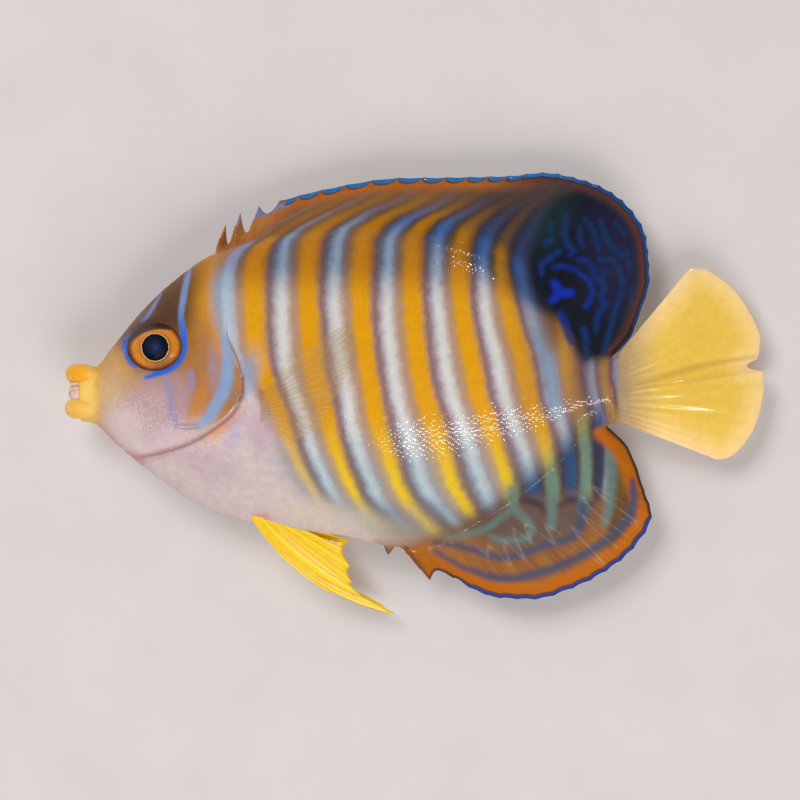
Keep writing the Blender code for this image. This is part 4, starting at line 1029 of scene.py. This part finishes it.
def scaleRoots(side):
    # staggered rows: place, turn, size and how far round the section each scale sits
    found = []
    dense = np.linspace(0.05, np.pi - 0.14, 900)
    for low, high, size in ((-45.2, -25.4, scales["headSize"]), (-25.4, 27.6, 1.0)):
        pitch = scales["stepAcross"] * size
        for column, x in enumerate(np.arange(low, high, scales["stepAlong"] * size)):
            y, z = sectionPoint(np.full(len(dense), x), dense, side, "body" if low > -30 else "head")
            run = np.concatenate([[0.0], np.cumsum(np.hypot(np.diff(y), np.diff(z)))])
            run -= np.interp(np.pi / 2, dense, run)
            start = math.ceil(run[0] / pitch) * pitch + (0.5 * pitch if column % 2 else 0.0)
            found += [(x, float(np.interp(at, run, dense)), at, size) for at in np.arange(start, run[-1], pitch)]
    x, angle, run, size = np.array(found).T
    jitter = np.random.default_rng(scales["seed"])
    x = x + jitter.uniform(-scales["shiftAlong"], scales["shiftAlong"], len(x))
    angle = angle + jitter.uniform(-scales["shiftRound"], scales["shiftRound"], len(x))
    y, z = sectionPoint(x, angle, side, "body")
    gill = nearLine(gillLine, x, y)
    signed = gill[0] * gill[1]
    onHead = signed < 0
    keep = (np.abs(signed) > scales["gillGap"]) | (y > 9)
    keep &= (x > -44.6 + 0.12 * np.abs(y)) & ((x > -25.4) | (size < 1) | ~onHead)
    # bare skin round the eye, before it and round the cheek spine
    keep &= (eyeRadius(x, y) > scales["eyeGap"]) & (np.hypot(x + 42.4, y - 6.1) > 1.5)
    keep &= nearLine(body["spineLine"], x, y)[0] > scales["spineGap"]
    keep &= (finHeight(x, y, side) * side < z * side + 0.05) | (x < -20) & (y < 0)
    x, angle, run, size, onHead = x[keep], angle[keep], run[keep], size[keep], onHead[keep]

    def surface(x, angle):
        onBody, onFace = (sectionPoint(x, angle, side, part) for part in ("body", "head"))
        return np.column_stack([x, *np.where(onHead, onFace, onBody)])

    at = surface(x, angle)
    along = surface(x + 0.05, angle) - surface(x - 0.05, angle)
    round = surface(x, angle + 0.004) - surface(x, angle - 0.004)
    # smaller scales climb the bases of the dorsal and anal fins, in rows along the rays
    pitch = scales["finPitch"]
    for fin in (dorsal, anal):
        li, lv = [], []
        for row, share in enumerate(np.linspace(0.02, 0.75, scales["finRows"])):
            here = np.linspace(0.02, fin["rays"] - 1.02, 400)
            hx, hy = finPlan(fin, here, share)
            length = np.concatenate([[0.0], np.cumsum(np.hypot(np.diff(hx), np.diff(hy)))])
            stops = np.arange(0.3 + 0.5 * pitch * (row % 2), length[-1] - 0.2, pitch)
            li += list(np.interp(stops, length, here))
            lv += [share] * len(stops)
        li, lv = np.array(li), np.array(lv)

        def sheet(i, v):
            return np.column_stack(layFin(fin, i, v, side))

        spot = sheet(li, lv)
        out = trunkReach(spot[:, 0], spot[:, 1])
        half = trunkHalf(spot[:, 0], spot[:, 1], "body") - body["skinDepth"]
        pick = (out < scales["reach"]) & ((out > 0) | (np.abs(spot[:, 2] - body["midHeight"]) > half - 0.05))
        li, lv, spot, out = li[pick], lv[pick], spot[pick], out[pick]
        at = np.vstack([at, spot])
        along = np.vstack([along, sheet(li, lv + 0.01) - sheet(li, lv - 0.01)])
        round = np.vstack([round, sheet(li + 0.08, lv) - sheet(li - 0.08, lv)])
        run = np.concatenate([run, -spot[:, 1]])
        size = np.concatenate([size, scales["finSize"] * (1 - 0.45 * ease(out, 0.5, scales["reach"]))])
    normal = unit(np.cross(round, along))
    normal[normal[:, 2] * side < 0] *= -1
    ahead = unit(along)
    beside = unit(np.cross(normal, ahead))
    ahead = np.cross(beside, normal)
    tilt = jitter.normal(0, scales["tilt"], (len(at), 2))
    ahead = unit(ahead + normal * tilt[:, :1])
    normal = unit(np.cross(ahead, beside + normal * tilt[:, 1:]))
    beside = np.cross(normal, ahead)
    turn = np.column_stack([np.arctan2(beside[:, 2], normal[:, 2]), np.arcsin(np.clip(-ahead[:, 2], -1, 1)),
                            np.arctan2(ahead[:, 1], ahead[:, 0])])  # as angles about x, y and z
    return at + normal * scales["outward"], turn, size * jitter.uniform(*scales["spread"], len(at)), run


def scaleTree():
    tree, ids, enter, leave = instanceTree("scaleCoat", {
        "Scale Shape": "Object", "Scale Size": "Float", "Material": "Material"})
    plate = addNode(tree, "GeometryNodeObjectInfo", {"Object": enter.outputs["Scale Shape"]})
    turn = addNode(tree, "GeometryNodeInputNamedAttribute", {"Name": "turn"}, data_type="FLOAT_VECTOR")
    own = addNode(tree, "GeometryNodeInputNamedAttribute", {"Name": "own"}, data_type="FLOAT")
    grown = addNode(tree, "Math", (own, enter.outputs["Scale Size"]), operation="MULTIPLY")
    endTree(tree, enter, leave, {"Instance": plate.outputs["Geometry"], "Rotation": turn, "Scale": grown})
    return tree, ids


def makeScales():
    # both flanks, each as three pieces; every scale is a small patch of the bake map at its root's place
    plate = scalePlate()
    corners = len(plate.data.vertices)
    patch = np.array([p.co[:2] for p in plate.data.vertices]) / metre * scales["patch"]
    tree, ids = scaleTree()
    for side, label in sides:
        at, turn, size, run = scaleRoots(side)
        for part, low, high in (("front", -60, -22.0), ("middle", -22.0, 0.0), ("rear", 0.0, 60)):
            pick = (at[:, 0] >= low) & (at[:, 0] < high)
            carrier = addMesh("scales", at[pick], [])
            writeField(carrier.data, "turn", turn[pick], "FLOAT_VECTOR", "vector")
            writeField(carrier.data, "own", size[pick])
            piece = growPiece(carrier, tree, ids, (plate, 1.0, materials["skin"]), "scales_" + label + "_" + part)
            mesh = piece.data
            co = np.empty(len(mesh.vertices) * 3)
            mesh.vertices.foreach_get("co", co)
            co = co.reshape(-1, 3)
            co[:, 2] = np.maximum(co[:, 2], scales["floorGap"] * metre)
            mesh.vertices.foreach_set("co", co.ravel())
            x, y = (co[:, :2] / metre + origin).T
            paintFields(mesh, x, y, (trunkReach(x, y) < -0.05) * 1.0)
            for name in ("turn", "own"):
                if name in mesh.attributes:
                    mesh.attributes.remove(mesh.attributes[name])
            # unwrap: along the fish, and the length of skin round the section
            perLength = scales["mapShare"] / scales["mapLength"]
            u = (0.02 if side > 0 else 0.52) + perLength * (at[pick][:, 0] + 50)
            v = 0.5 + perLength * run[pick]
            uv = np.repeat(np.column_stack([u, v]), corners, axis=0) + np.tile(patch, (pick.sum(), 1))
            loops = np.empty(len(mesh.loops), dtype=np.int64)
            mesh.loops.foreach_get("vertex_index", loops)
            layer = mesh.uv_layers.new(name="OFBake")
            layer.data.foreach_set("uv", uv[loops].astype(np.float32).ravel())
            place(piece, "skin", "body_skin")
            print("scales", piece.name, int(pick.sum()), len(mesh.polygons))
    bpy.data.objects.remove(plate, do_unlink=True)


# Materials. One helper adds a node with its settings and feeds its inputs.
def addNode(tree, kind, links=None, stops=None, **settings):
    node = tree.nodes.new(kind if "Node" in kind else "ShaderNode" + kind)
    for key, value in settings.items():
        setattr(node, key, value)
    if stops:
        ramp = node.color_ramp
        while len(ramp.elements) < len(stops):
            ramp.elements.new(0.5)
        for element, (at, colour) in zip(ramp.elements, stops):
            element.position = at
            element.color = (*toLinear(colour), 1.0) if isinstance(colour, str) else (colour, colour, colour, 1.0)
    feed(tree, node, links or ())
    return node


def feed(tree, node, links):
    # fills inputs by name, or in their order, with a value, a hex colour, a node, a socket, or "@name" or
    # "@name.Output" for a field painted on the mesh
    slots = [s for s in node.inputs if s.enabled]
    named = isinstance(links, dict)
    for key, value in links.items() if named else zip(slots, links):
        slot = next(s for s in slots if s.name == key) if named else key
        if isinstance(value, str) and value.startswith("@"):
            field, part = (value[1:] + ".Fac").split(".")[:2]
            value = addNode(tree, "Attribute", attribute_name=field).outputs[part]
        if isinstance(value, str) and slot.type == "RGBA":
            value = (*toLinear(value), 1.0)
        if isinstance(value, bpy.types.Node):
            value = next(s for s in value.outputs if s.enabled)
        if isinstance(value, bpy.types.NodeSocket):
            tree.links.new(value, slot)
        else:
            slot.default_value = value


def newMaterial(name):
    # a new material's tree, its shader and a place on the piece in metres
    material = bpy.data.materials.new(name)
    material.use_nodes = True
    tree = material.node_tree
    return material, tree, tree.nodes["Principled BSDF"], addNode(tree, "TexCoord").outputs["Object"]


# Pigment: each bar period from the middle of one white bar to the next, in several parts of the body.
barTones = dict(
    middle=[(0.0, "d2cecb"), (0.07, "cac2bc"), (0.13, "bca69a"), (0.2, "b08c76"), (0.27, "b48c66"), (0.32, "c49046"),
            (0.37, "da9812"), (0.5, "dd9a08"), (0.61, "da9810"), (0.66, "c48e46"), (0.71, "a07a64"), (0.76, "8a6866"),
            (0.82, "98848a"), (0.88, "b6acae"), (0.94, "cac6c6"), (1.0, "d2cecb")],
    low=[(0.0, "b4c0c4"), (0.1, "a8b2b8"), (0.18, "9c9698"), (0.27, "a6947e"), (0.35, "b49a72"), (0.41, "ccac50"),
         (0.46, "e4bc20"), (0.55, "e2b820"), (0.61, "c8a044"), (0.67, "9c8054"), (0.73, "80695e"), (0.8, "78707a"),
         (0.87, "8c949e"), (0.94, "a4b2ba"), (1.0, "b4c0c4")],
    lowest=[(0.0, "848e9e"), (0.15, "807f86"), (0.28, "96887a"), (0.4, "bca468"), (0.48, "c4aa5c"), (0.58, "a8905e"),
            (0.7, "7e7064"), (0.82, "70707c"), (0.92, "767e8e"), (1.0, "848e9e")],
    high=[(0.0, "8698ac"), (0.07, "7c8ca4"), (0.13, "706c78"), (0.2, "745c54"), (0.27, "875f38"), (0.34, "a6701c"),
          (0.42, "ba7804"), (0.58, "ba7606"), (0.66, "a46618"), (0.72, "84583c"), (0.78, "5e4a4e"), (0.86, "5c5e72"),
          (0.94, "74849c"), (1.0, "8698ac")],
    blue=[(0.0, "40629a"), (0.1, "3a588a"), (0.17, "3a4462"), (0.23, "473c38"), (0.3, "6e4c18"), (0.38, "9c6608"),
          (0.5, "a67004"), (0.62, "966008"), (0.7, "64461e"), (0.77, "38384a"), (0.86, "304c7e"), (0.94, "3a5a92"),
          (1.0, "40629a")],
    far=[(0.0, "1c4c8c"), (0.1, "1a427c"), (0.18, "1c2a44"), (0.28, "3a2c18"), (0.4, "7a5008"), (0.54, "84560a"),
         (0.66, "443214"), (0.78, "141e34"), (0.9, "183c74"), (1.0, "1c4c8c")],
    rear=[(0.0, "8a86a0"), (0.12, "807c90"), (0.2, "765e60"), (0.3, "866650"), (0.42, "98704a"), (0.56, "9a7048"),
          (0.68, "865e48"), (0.78, "6c4a4e"), (0.88, "746678"), (1.0, "8a86a0")],
    deep=[(0.0, "2a4a74"), (0.12, "34496c"), (0.22, "403c48"), (0.32, "605c44"), (0.42, "869060"), (0.56, "82905e"),
          (0.68, "5c5a4a"), (0.78, "3c3844"), (0.9, "304468"), (1.0, "2a4a74")],
)

# Layers of pigment, with some painted shade and painted highlight among them, each over the last: its tone (a bar
# tone, one colour, or a driver and stops), the mask it lies in, the field and distances over which its edge fades, and
# its strength.
pigment = [
    ("middle", None, None, 1.0),
    ("low", "lowBars", None, 1.0),
    ("lowest", "lowestBars", None, 1.0),
    ("high", "highBars", None, 1.0),
    ("blue", "blueBars", None, 1.0),
    ("far", "farBars", None, 0.9),
    ("rear", "rearBars", None, 0.9),
    ("94aec6", "firstBar", None, 0.6),
    ("8a7c9c", "firstTop", None, 0.65),
    ("a4703c", "napeSide", None, 0.85),
    ("6f92b4", "lastBar", None, 0.75),
    ("86582a", "underSpot", None, 0.65),
    ("54454a", "rearShade", None, 0.22),
    ("deep", "deepBars", None, 1.0),
    ("7a5430", "veil", None, 0.84),
    # partly the first bar's blue-grey, partly painted shade behind the gill cover
    ("8f9ab4", "greyShadeBehindGill", None, 0.85),
    (("mottle", [(0.3, "cab6b6"), (0.5, "cdb9b8"), (0.7, "d0bdba")]), "pale", None, 0.95),
    ("b496a4", "chest", None, 0.55),
    ("a09c9a", "barEnds", None, 0.62),
    ("988c76", "rearBelly", None, 0.7),
    ("d0c0ac", "cream", None, 0.6),
    ("dc9468", "ember", None, 0.8),
    ("9c92c8", "lilac", None, 0.35),
    (("ground", None), "groundZone", None, 1.0),
    (("fibre", [(0.3, "845220"), (0.7, "a2621c")]), "brown", None, 0.92),
    ("544a48", "innerBrown", None, 0.82),
    ("5a3c22", "rearBrown", None, 0.9),
    ("3a2f38", None, ("dark", -0.6, 0.6), 0.8),
    ("5e7c76", None, ("teal", -0.5, 0.7), 0.78),
    (("depthAnal", [(0.0, "40281e"), (0.035, "44291c"), (0.07, "6a3c14"), (0.11, "ae5e0a"), (0.5, "bc6406"),
        (1.0, "a06020")]), "analRim", None, 1.0),
    ("42485f", None, ("slate", -0.5, 0.75), 0.9),
    ("a2601c", "analFront", None, 0.6),
    ("2a2832", "dusky", None, 0.72),
    (("mottle", [(0.0, "0c0e16"), (0.6, "0e1320"), (1.0, "141c38")]), None, ("spot", -1.0, 1.2), 1.0),
    ("20203e", "haze", ("spot", 0.0, 1.4), 0.75),
    ("18302f", "greenish", None, 0.6),
    (("mazeTone", [(0.25, "103058"), (0.6, "0c2c78"), (1.0, "0a2cae")]), None, ("maze", -0.42, 0.5), 0.82),
    (("depthDorsal", [(0.0, "5a3218"), (0.07, "a05218"), (0.3, "a85c1c"), (0.6, "905628"), (1.0, "7c522a")]),
        "frontRim", None, 1.0),
    (("depthDorsal", [(0.0, "241412"), (0.15, "301a16"), (0.22, "56302a"), (0.4, "4c2a26"), (1.0, "2c1e22")]),
        "rearRim", None, 0.9),
    ("bc8244", "frontWeb", None, 0.6),
    ("5f7eb2", None, ("caps", -0.3, 0.3), 0.9),
    ("33201a", None, ("blueEdge", 1.2, 1.7), 0.75),
    (("fibre", [(0.3, "145c9c"), (0.7, "2272b2")]), None, ("blueEdge", 0.9, 1.15), 1.0),
    ("0c3c80", "rearSide", ("blueEdge", 0.9, 1.15), 0.9),
    ("2c3e88", "analSide", ("blueEdge", 0.9, 1.15), 1.0),
    (("depthTail", [(0.0, "f6d096"), (0.09, "f2cb7a"), (0.22, "e8be52"), (0.7, "e2b640"), (1.0, "dcb24c")]),
        "tail", None, 1.0),
    ("b4966e", "tailRoot", None, 0.9),
    # painted shade along the tail's crease
    ("b88c40", "tail", ("crease", -0.4, 0.5), 0.5),
    ("7f9fc8", None, ("gillBlue", -0.5, 0.55), 0.9),
    ("9088b8", None, ("violet", -0.35, 0.4), 0.75),
    # partly the edge's own reddish line, partly painted shade on the gill cover's rim
    ("a4746a", "coverEdgeShade", None, 0.55),
    # painted highlight: pale pink dots, partly pearly flecks and partly glints painted on
    ("f2dfe8", "glintFlecks", ("dots", 0.17, 0.38), 0.7),
    ("cc6c70", "blush", None, 0.6),
    (("nape", [(0.0, "0064d2"), (0.5, "4878c0"), (1.0, "7690bc")]), None, ("blue", -0.26, 0.26), 0.93),
]


def makeFishSkin():
    # fresh fish skin under a wet film: pigment in bars, crisp glints on each scale, very fine grain
    material, tree, shader, place = newMaterial("wetFishSkin")
    mottle = addNode(tree, "TexNoise", (place, 900.0, 4.0, 0.6))
    wobble = addNode(tree, "TexNoise", (place, 800.0, 4.0, 0.62))  # frays the edges of the bars
    shift = addNode(tree, "MapRange", (wobble, 0, 1, -0.075, 0.075))
    phase = addNode(tree, "Math", ("@bar", shift), operation="ADD")
    drivers = {
        "turn": addNode(tree, "Math", (phase,), operation="FRACT"),
        "mottle": mottle,
        "fibre": addNode(tree, "TexNoise", ("@streak.Vector", 1.0, 2.0)),
        "dots": addNode(tree, "TexVoronoi", (place, 4000.0), feature="F1"),
        "groundZone": "@ground.Alpha",
    }
    for fin, reach in (("Anal", 5.0), ("Dorsal", 3.6), ("Tail", 16.0)):
        drivers["depth" + fin] = addNode(tree, "Math", ("@rim" + fin, reach), operation="DIVIDE")
    colour = None
    for tone, mask, edge, weight in pigment:
        if isinstance(tone, str) and tone in barTones:
            tone = ("turn", barTones[tone])
        if isinstance(tone, tuple):
            source, stops = tone
            driver = drivers.get(source) or "@" + source
            tone = addNode(tree, "ValToRGB", (driver,), stops) if stops else "@ground.Color"
        if colour is None:
            colour = tone
            continue
        if mask:
            weight = addNode(tree, "Math", (drivers.get(mask) or "@" + mask, weight), operation="MULTIPLY")
        if edge:
            source, full, gone = edge
            fade = addNode(tree, "MapRange", (drivers.get(source) or "@" + source, full, gone, 1.0, 0.0),
                           interpolation_type="SMOOTHSTEP")
            weight = addNode(tree, "Math", (fade, weight), operation="MULTIPLY")
        colour = addNode(tree, "Mix", (weight, colour, tone), data_type="RGBA")
    grain = addNode(tree, "MapRange", (mottle, 0.3, 0.7, 0.95, 1.05))
    fine = addNode(tree, "TexNoise", (place, 2600.0, 2.0))
    feed(tree, shader, {
        "Base Color": addNode(tree, "VectorMath", (colour, grain), operation="SCALE"),
        "Roughness": addNode(tree, "MapRange", (mottle, 0, 1, 0.38, 0.54)),
        "Normal": addNode(tree, "Bump", {"Strength": 0.25, "Distance": 0.00006, "Height": fine}),
        "IOR": 1.38, "Specular IOR Level": 0.25, "Coat Roughness": 0.08,
        "Coat Weight": addNode(tree, "Math", ("@film", 0.45), operation="MULTIPLY"),
    })
    return material


def plainWet(name, light, dark, scale, rough, coat=0.4, spread=None):
    # moist flesh or horn: two close tones broken by noise, under a film of slime
    material, tree, shader, place = newMaterial(name)
    noise = addNode(tree, "TexNoise", (place, scale, 3.0))
    tone = addNode(tree, "ValToRGB", (noise,), [(0.35, dark), (0.65, light)])
    if spread:
        # a second tone that follows the piece's own share: paler at the corners of the mouth, darker under the teeth
        full, gone, second = spread
        along = addNode(tree, "MapRange", ("@share", full, gone, 0.0, 1.0), interpolation_type="SMOOTHSTEP")
        tone = addNode(tree, "Mix", (along, second, tone), data_type="RGBA")
    feed(tree, shader, {
        "Base Color": tone,
        "Roughness": addNode(tree, "MapRange", (noise, 0, 1, rough - 0.06, rough + 0.08)),
        "Normal": addNode(tree, "Bump", {"Strength": 0.3, "Distance": 0.00008, "Height": noise}),
        "Specular IOR Level": 0.3, "Coat Weight": coat, "Coat Roughness": 0.1,
    })
    return material


def makeIris():
    # living eye: black pupil painted paler blue in its middle as a reflection, pale gold line, orange iris with
    # painted shade at its top under the brow, under a clear wet cornea
    material, tree, shader, place = newMaterial("wetEyeCornea")
    noise = addNode(tree, "TexNoise", (place, 1400.0, 3.0))
    move = addNode(tree, "MapRange", (noise, 0, 1, -0.03, 0.03))
    ring = addNode(tree, "Math", ("@radial", move), operation="ADD")
    apart = addNode(tree, "SeparateXYZ", (place,))
    brow = addNode(tree, "Math", (apart.outputs["X"], -0.3, apart.outputs["Y"]), operation="MULTIPLY_ADD")
    outer = addNode(tree, "Math", (ring, 0.45), operation="GREATER_THAN")
    # painted shade: the first range darkens the top of the iris towards the brow; the second lays a reddish-brown band
    # along its lower edge
    browShadeAndLowBand = [addNode(tree, "Math", (addNode(tree, "MapRange", (brow, *span), interpolation_type="SMOOTHSTEP"), outer),
                      operation="MULTIPLY") for span in ((0.0192, 0.0206, 0.0, 0.22), (0.0146, 0.0161, 0.6, 0.0))]
    ring = addNode(tree, "Math", (ring, browShadeAndLowBand[0]), operation="ADD")
    # painted reflection: the pupil is paler blue in its middle and darkens to black at its edge
    tone = addNode(tree, "ValToRGB", (ring,), [
        (0.0, "2a385c"), (0.12, "1a2646"), (0.26, "0b1124"), (0.41, "06070c"), (0.43, "ecc078"), (0.45, "a8601a"),
        (0.53, "c87a22"), (0.68, "d8821e"), (0.76, "a85e1c"), (0.81, "643416"), (0.87, "442410"), (1.0, "241208")])
    tone = addNode(tree, "Mix", (browShadeAndLowBand[1], tone, "663a32"), data_type="RGBA")
    fleck = addNode(tree, "TexNoise", (place, 3600.0, 3.0))
    fleck = addNode(tree, "MapRange", (fleck, 0.3, 0.7, 0.84, 1.14))
    feed(tree, shader, {
        "Base Color": addNode(tree, "VectorMath", (tone, fleck), operation="SCALE"), "Roughness": 0.3,
        "Specular IOR Level": 0.3, "Coat Weight": 0.45, "Coat Roughness": 0.02, "IOR": 1.38,
    })
    return material


def makeClearFin():
    # pectoral fin: clear film with tan rays that fork towards the edge
    material, tree, shader, _ = newMaterial("clearFinMembrane")
    feed(tree, shader, {
        "Base Color": addNode(tree, "ValToRGB", ("@fork",), [(0.0, "c8a468"), (1.0, "ac8c54")]),
        "Alpha": addNode(tree, "MapRange", ("@fork", 0, 1, 0.1, 0.26)), "Roughness": 0.24, "IOR": 1.36,
    })
    return material


def makeYellowFin():
    # pelvic fin: lemon yellow film over bony rays
    material, tree, shader, place = newMaterial("yellowFinMembrane")
    mixed = addNode(tree, "Math", ("@ray", addNode(tree, "TexNoise", (place, 800.0, 3.0))), operation="MULTIPLY")
    feed(tree, shader, {
        "Base Color": addNode(tree, "ValToRGB", (mixed,), [(0.0, "f4cc1a"), (0.35, "ecbe10"), (0.7, "d8a412")]),
        "Roughness": 0.38, "Specular IOR Level": 0.3, "Coat Weight": 0.3, "Coat Roughness": 0.12,
    })
    return material


materials = {
    "skin": makeFishSkin(),
    "iris": makeIris(),
    "clear": makeClearFin(),
    "yellow": makeYellowFin(),
    "lip": plainWet("wetLipFlesh", "f0ac1e", "e8a018", 900.0, 0.36, 0.3, (0.2, 0.8, "ecc468")),
    "lipLow": plainWet("wetLowerLip", "eebc54", "e8b040", 900.0, 0.36, 0.3, (0.2, 0.8, "ecc87c")),
    "mouth": plainWet("wetMouthLining", "ecc8c0", "deb4a8", 1200.0, 0.3, 0.4, (1.7, 1.0, "c88a50")),
    "tooth": plainWet("toothEnamel", "ecd4b4", "d8b484", 2500.0, 0.3),
    "horn": plainWet("bonySpine", "beb0bc", "a898a4", 1800.0, 0.3),
}
print("materials made")


def place(piece, material, slot, *nodes):
    piece.data.materials.clear()
    piece.data.materials.append(materials[material])
    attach(piece, "root")
    if nodes:
        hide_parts(*nodes)


place(makeSkin(), "skin", "body_skin", "body", "head", "tail_stalk")
print("skin made")
for side, label in sides:
    place(makeGillFlap("gill_flap_" + label, side), "skin", "head_skin")
    place(makeEye("eye_globe_" + label, side), "iris", "eye", "eye_" + label)
    place(makeCheekSpine("cheek_spike_" + label, side), "horn", "cheek_spine", "cheek_spine_" + label)
    place(makePectoral("pectoral_" + label, side), "clear", "pectoral_fin_skin", "pectoral_fin_" + label)
    place(makeFin("pelvic_" + label, pelvics[side], 0.3), "yellow", "pelvic_fin_skin", "pelvic_fin_" + label)
for name, fin in (("dorsal", dorsal), ("anal", anal), ("tail", tail)):
    place(makeFin(name, fin), "skin", name + "_fin_skin", name + "_fin")
place(makeLip("lip_upper", lips["upper"]), "lip", "lip", "upper_lip")
place(makeLip("lip_lower", lips["lower"]), "lipLow", "lip", "lower_lip")
place(makeMouth(), "mouth", "lip")
for side, label in sides:
    place(makeMouthCorner("mouth_corner_" + label, side), "lip", "lip")
place(makeTeeth(), "tooth", "lip")
print("fins, eyes and mouth made")

makeScales()
print("scales made")

# Studio: pale floor, broad soft light from above and one small light for the wet glints.
card = bpy.data.meshes.new("studio_floor")
card.from_pydata([(-2, -2, 0), (2, -2, 0), (2, 2, 0), (-2, 2, 0)], [], [(0, 1, 2, 3)])
floor = addPiece("studio_floor", card)
matte, tree, shader, spot = newMaterial("matteCard")
spot = addNode(tree, "VectorMath", (spot, (2, 2, 2)), operation="ADD")  # counted from the card's corner
cloud = addNode(tree, "TexNoise", (spot, 75.0, 3.0))
feed(tree, shader, {
    "Base Color": addNode(tree, "ValToRGB", (cloud,), [(0.3, "d0c9c8"), (0.7, "d4cdcc")]), "Roughness": 0.8})
card.materials.append(matte)


def addLight(name, place, size, energy, glint=False, aim=(0, 0, 0.007), depth=None):
    # a glint lamp is seen only in reflections' highlights and throws no shadow; a softbox never shows in them
    lamp = bpy.data.lights.new(name, "AREA")
    lamp.shape = "RECTANGLE"
    lamp.size, lamp.size_y = size, depth or size
    lamp.energy = energy
    lamp.use_shadow = not glint
    holder = addPiece(name, lamp)
    holder.location = place
    holder.rotation_euler = (Vector(aim) - Vector(place)).to_track_quat("-Z", "Y").to_euler()
    holder.visible_glossy = glint


addLight("keySoftbox", (-0.4, 0.45, 0.65), 0.45, 4.65)
addLight("fillSoftbox", (0.15, -0.6, 0.5), 0.6, 3.7)
addLight("glintStrip", (0.2, -0.25, 0.8), 0.46, 1.5, True, (0.2, 0, 0.007), 0.016)
addLight("backGlintLamp", (0.22, 0.68, 0.42), 0.03, 0.3, True)
world = bpy.data.worlds.new("studio")
world.use_nodes = True
sky = world.node_tree
up = addNode(sky, "SeparateXYZ", (addNode(sky, "TexCoord").outputs["Generated"],)).outputs["Z"]
skyTone = addNode(sky, "ValToRGB", (up,), [(0.0, 0.42), (0.6, 0.34), (0.95, 0.06)])
feed(sky, sky.nodes["Background"], {"Color": skyTone, "Strength": 0.8})
scene = bpy.context.scene
scene.world = world
scene.view_settings.view_transform = "Standard"

camera = bpy.data.cameras.new("overhead")
camera.sensor_width = 36.0
camera.lens = 157.9
camera.clip_start = 0.01
scene.camera = addPiece("overhead", camera)
scene.camera.location = (-0.002304, -0.000875, 0.507)
print("studio made")
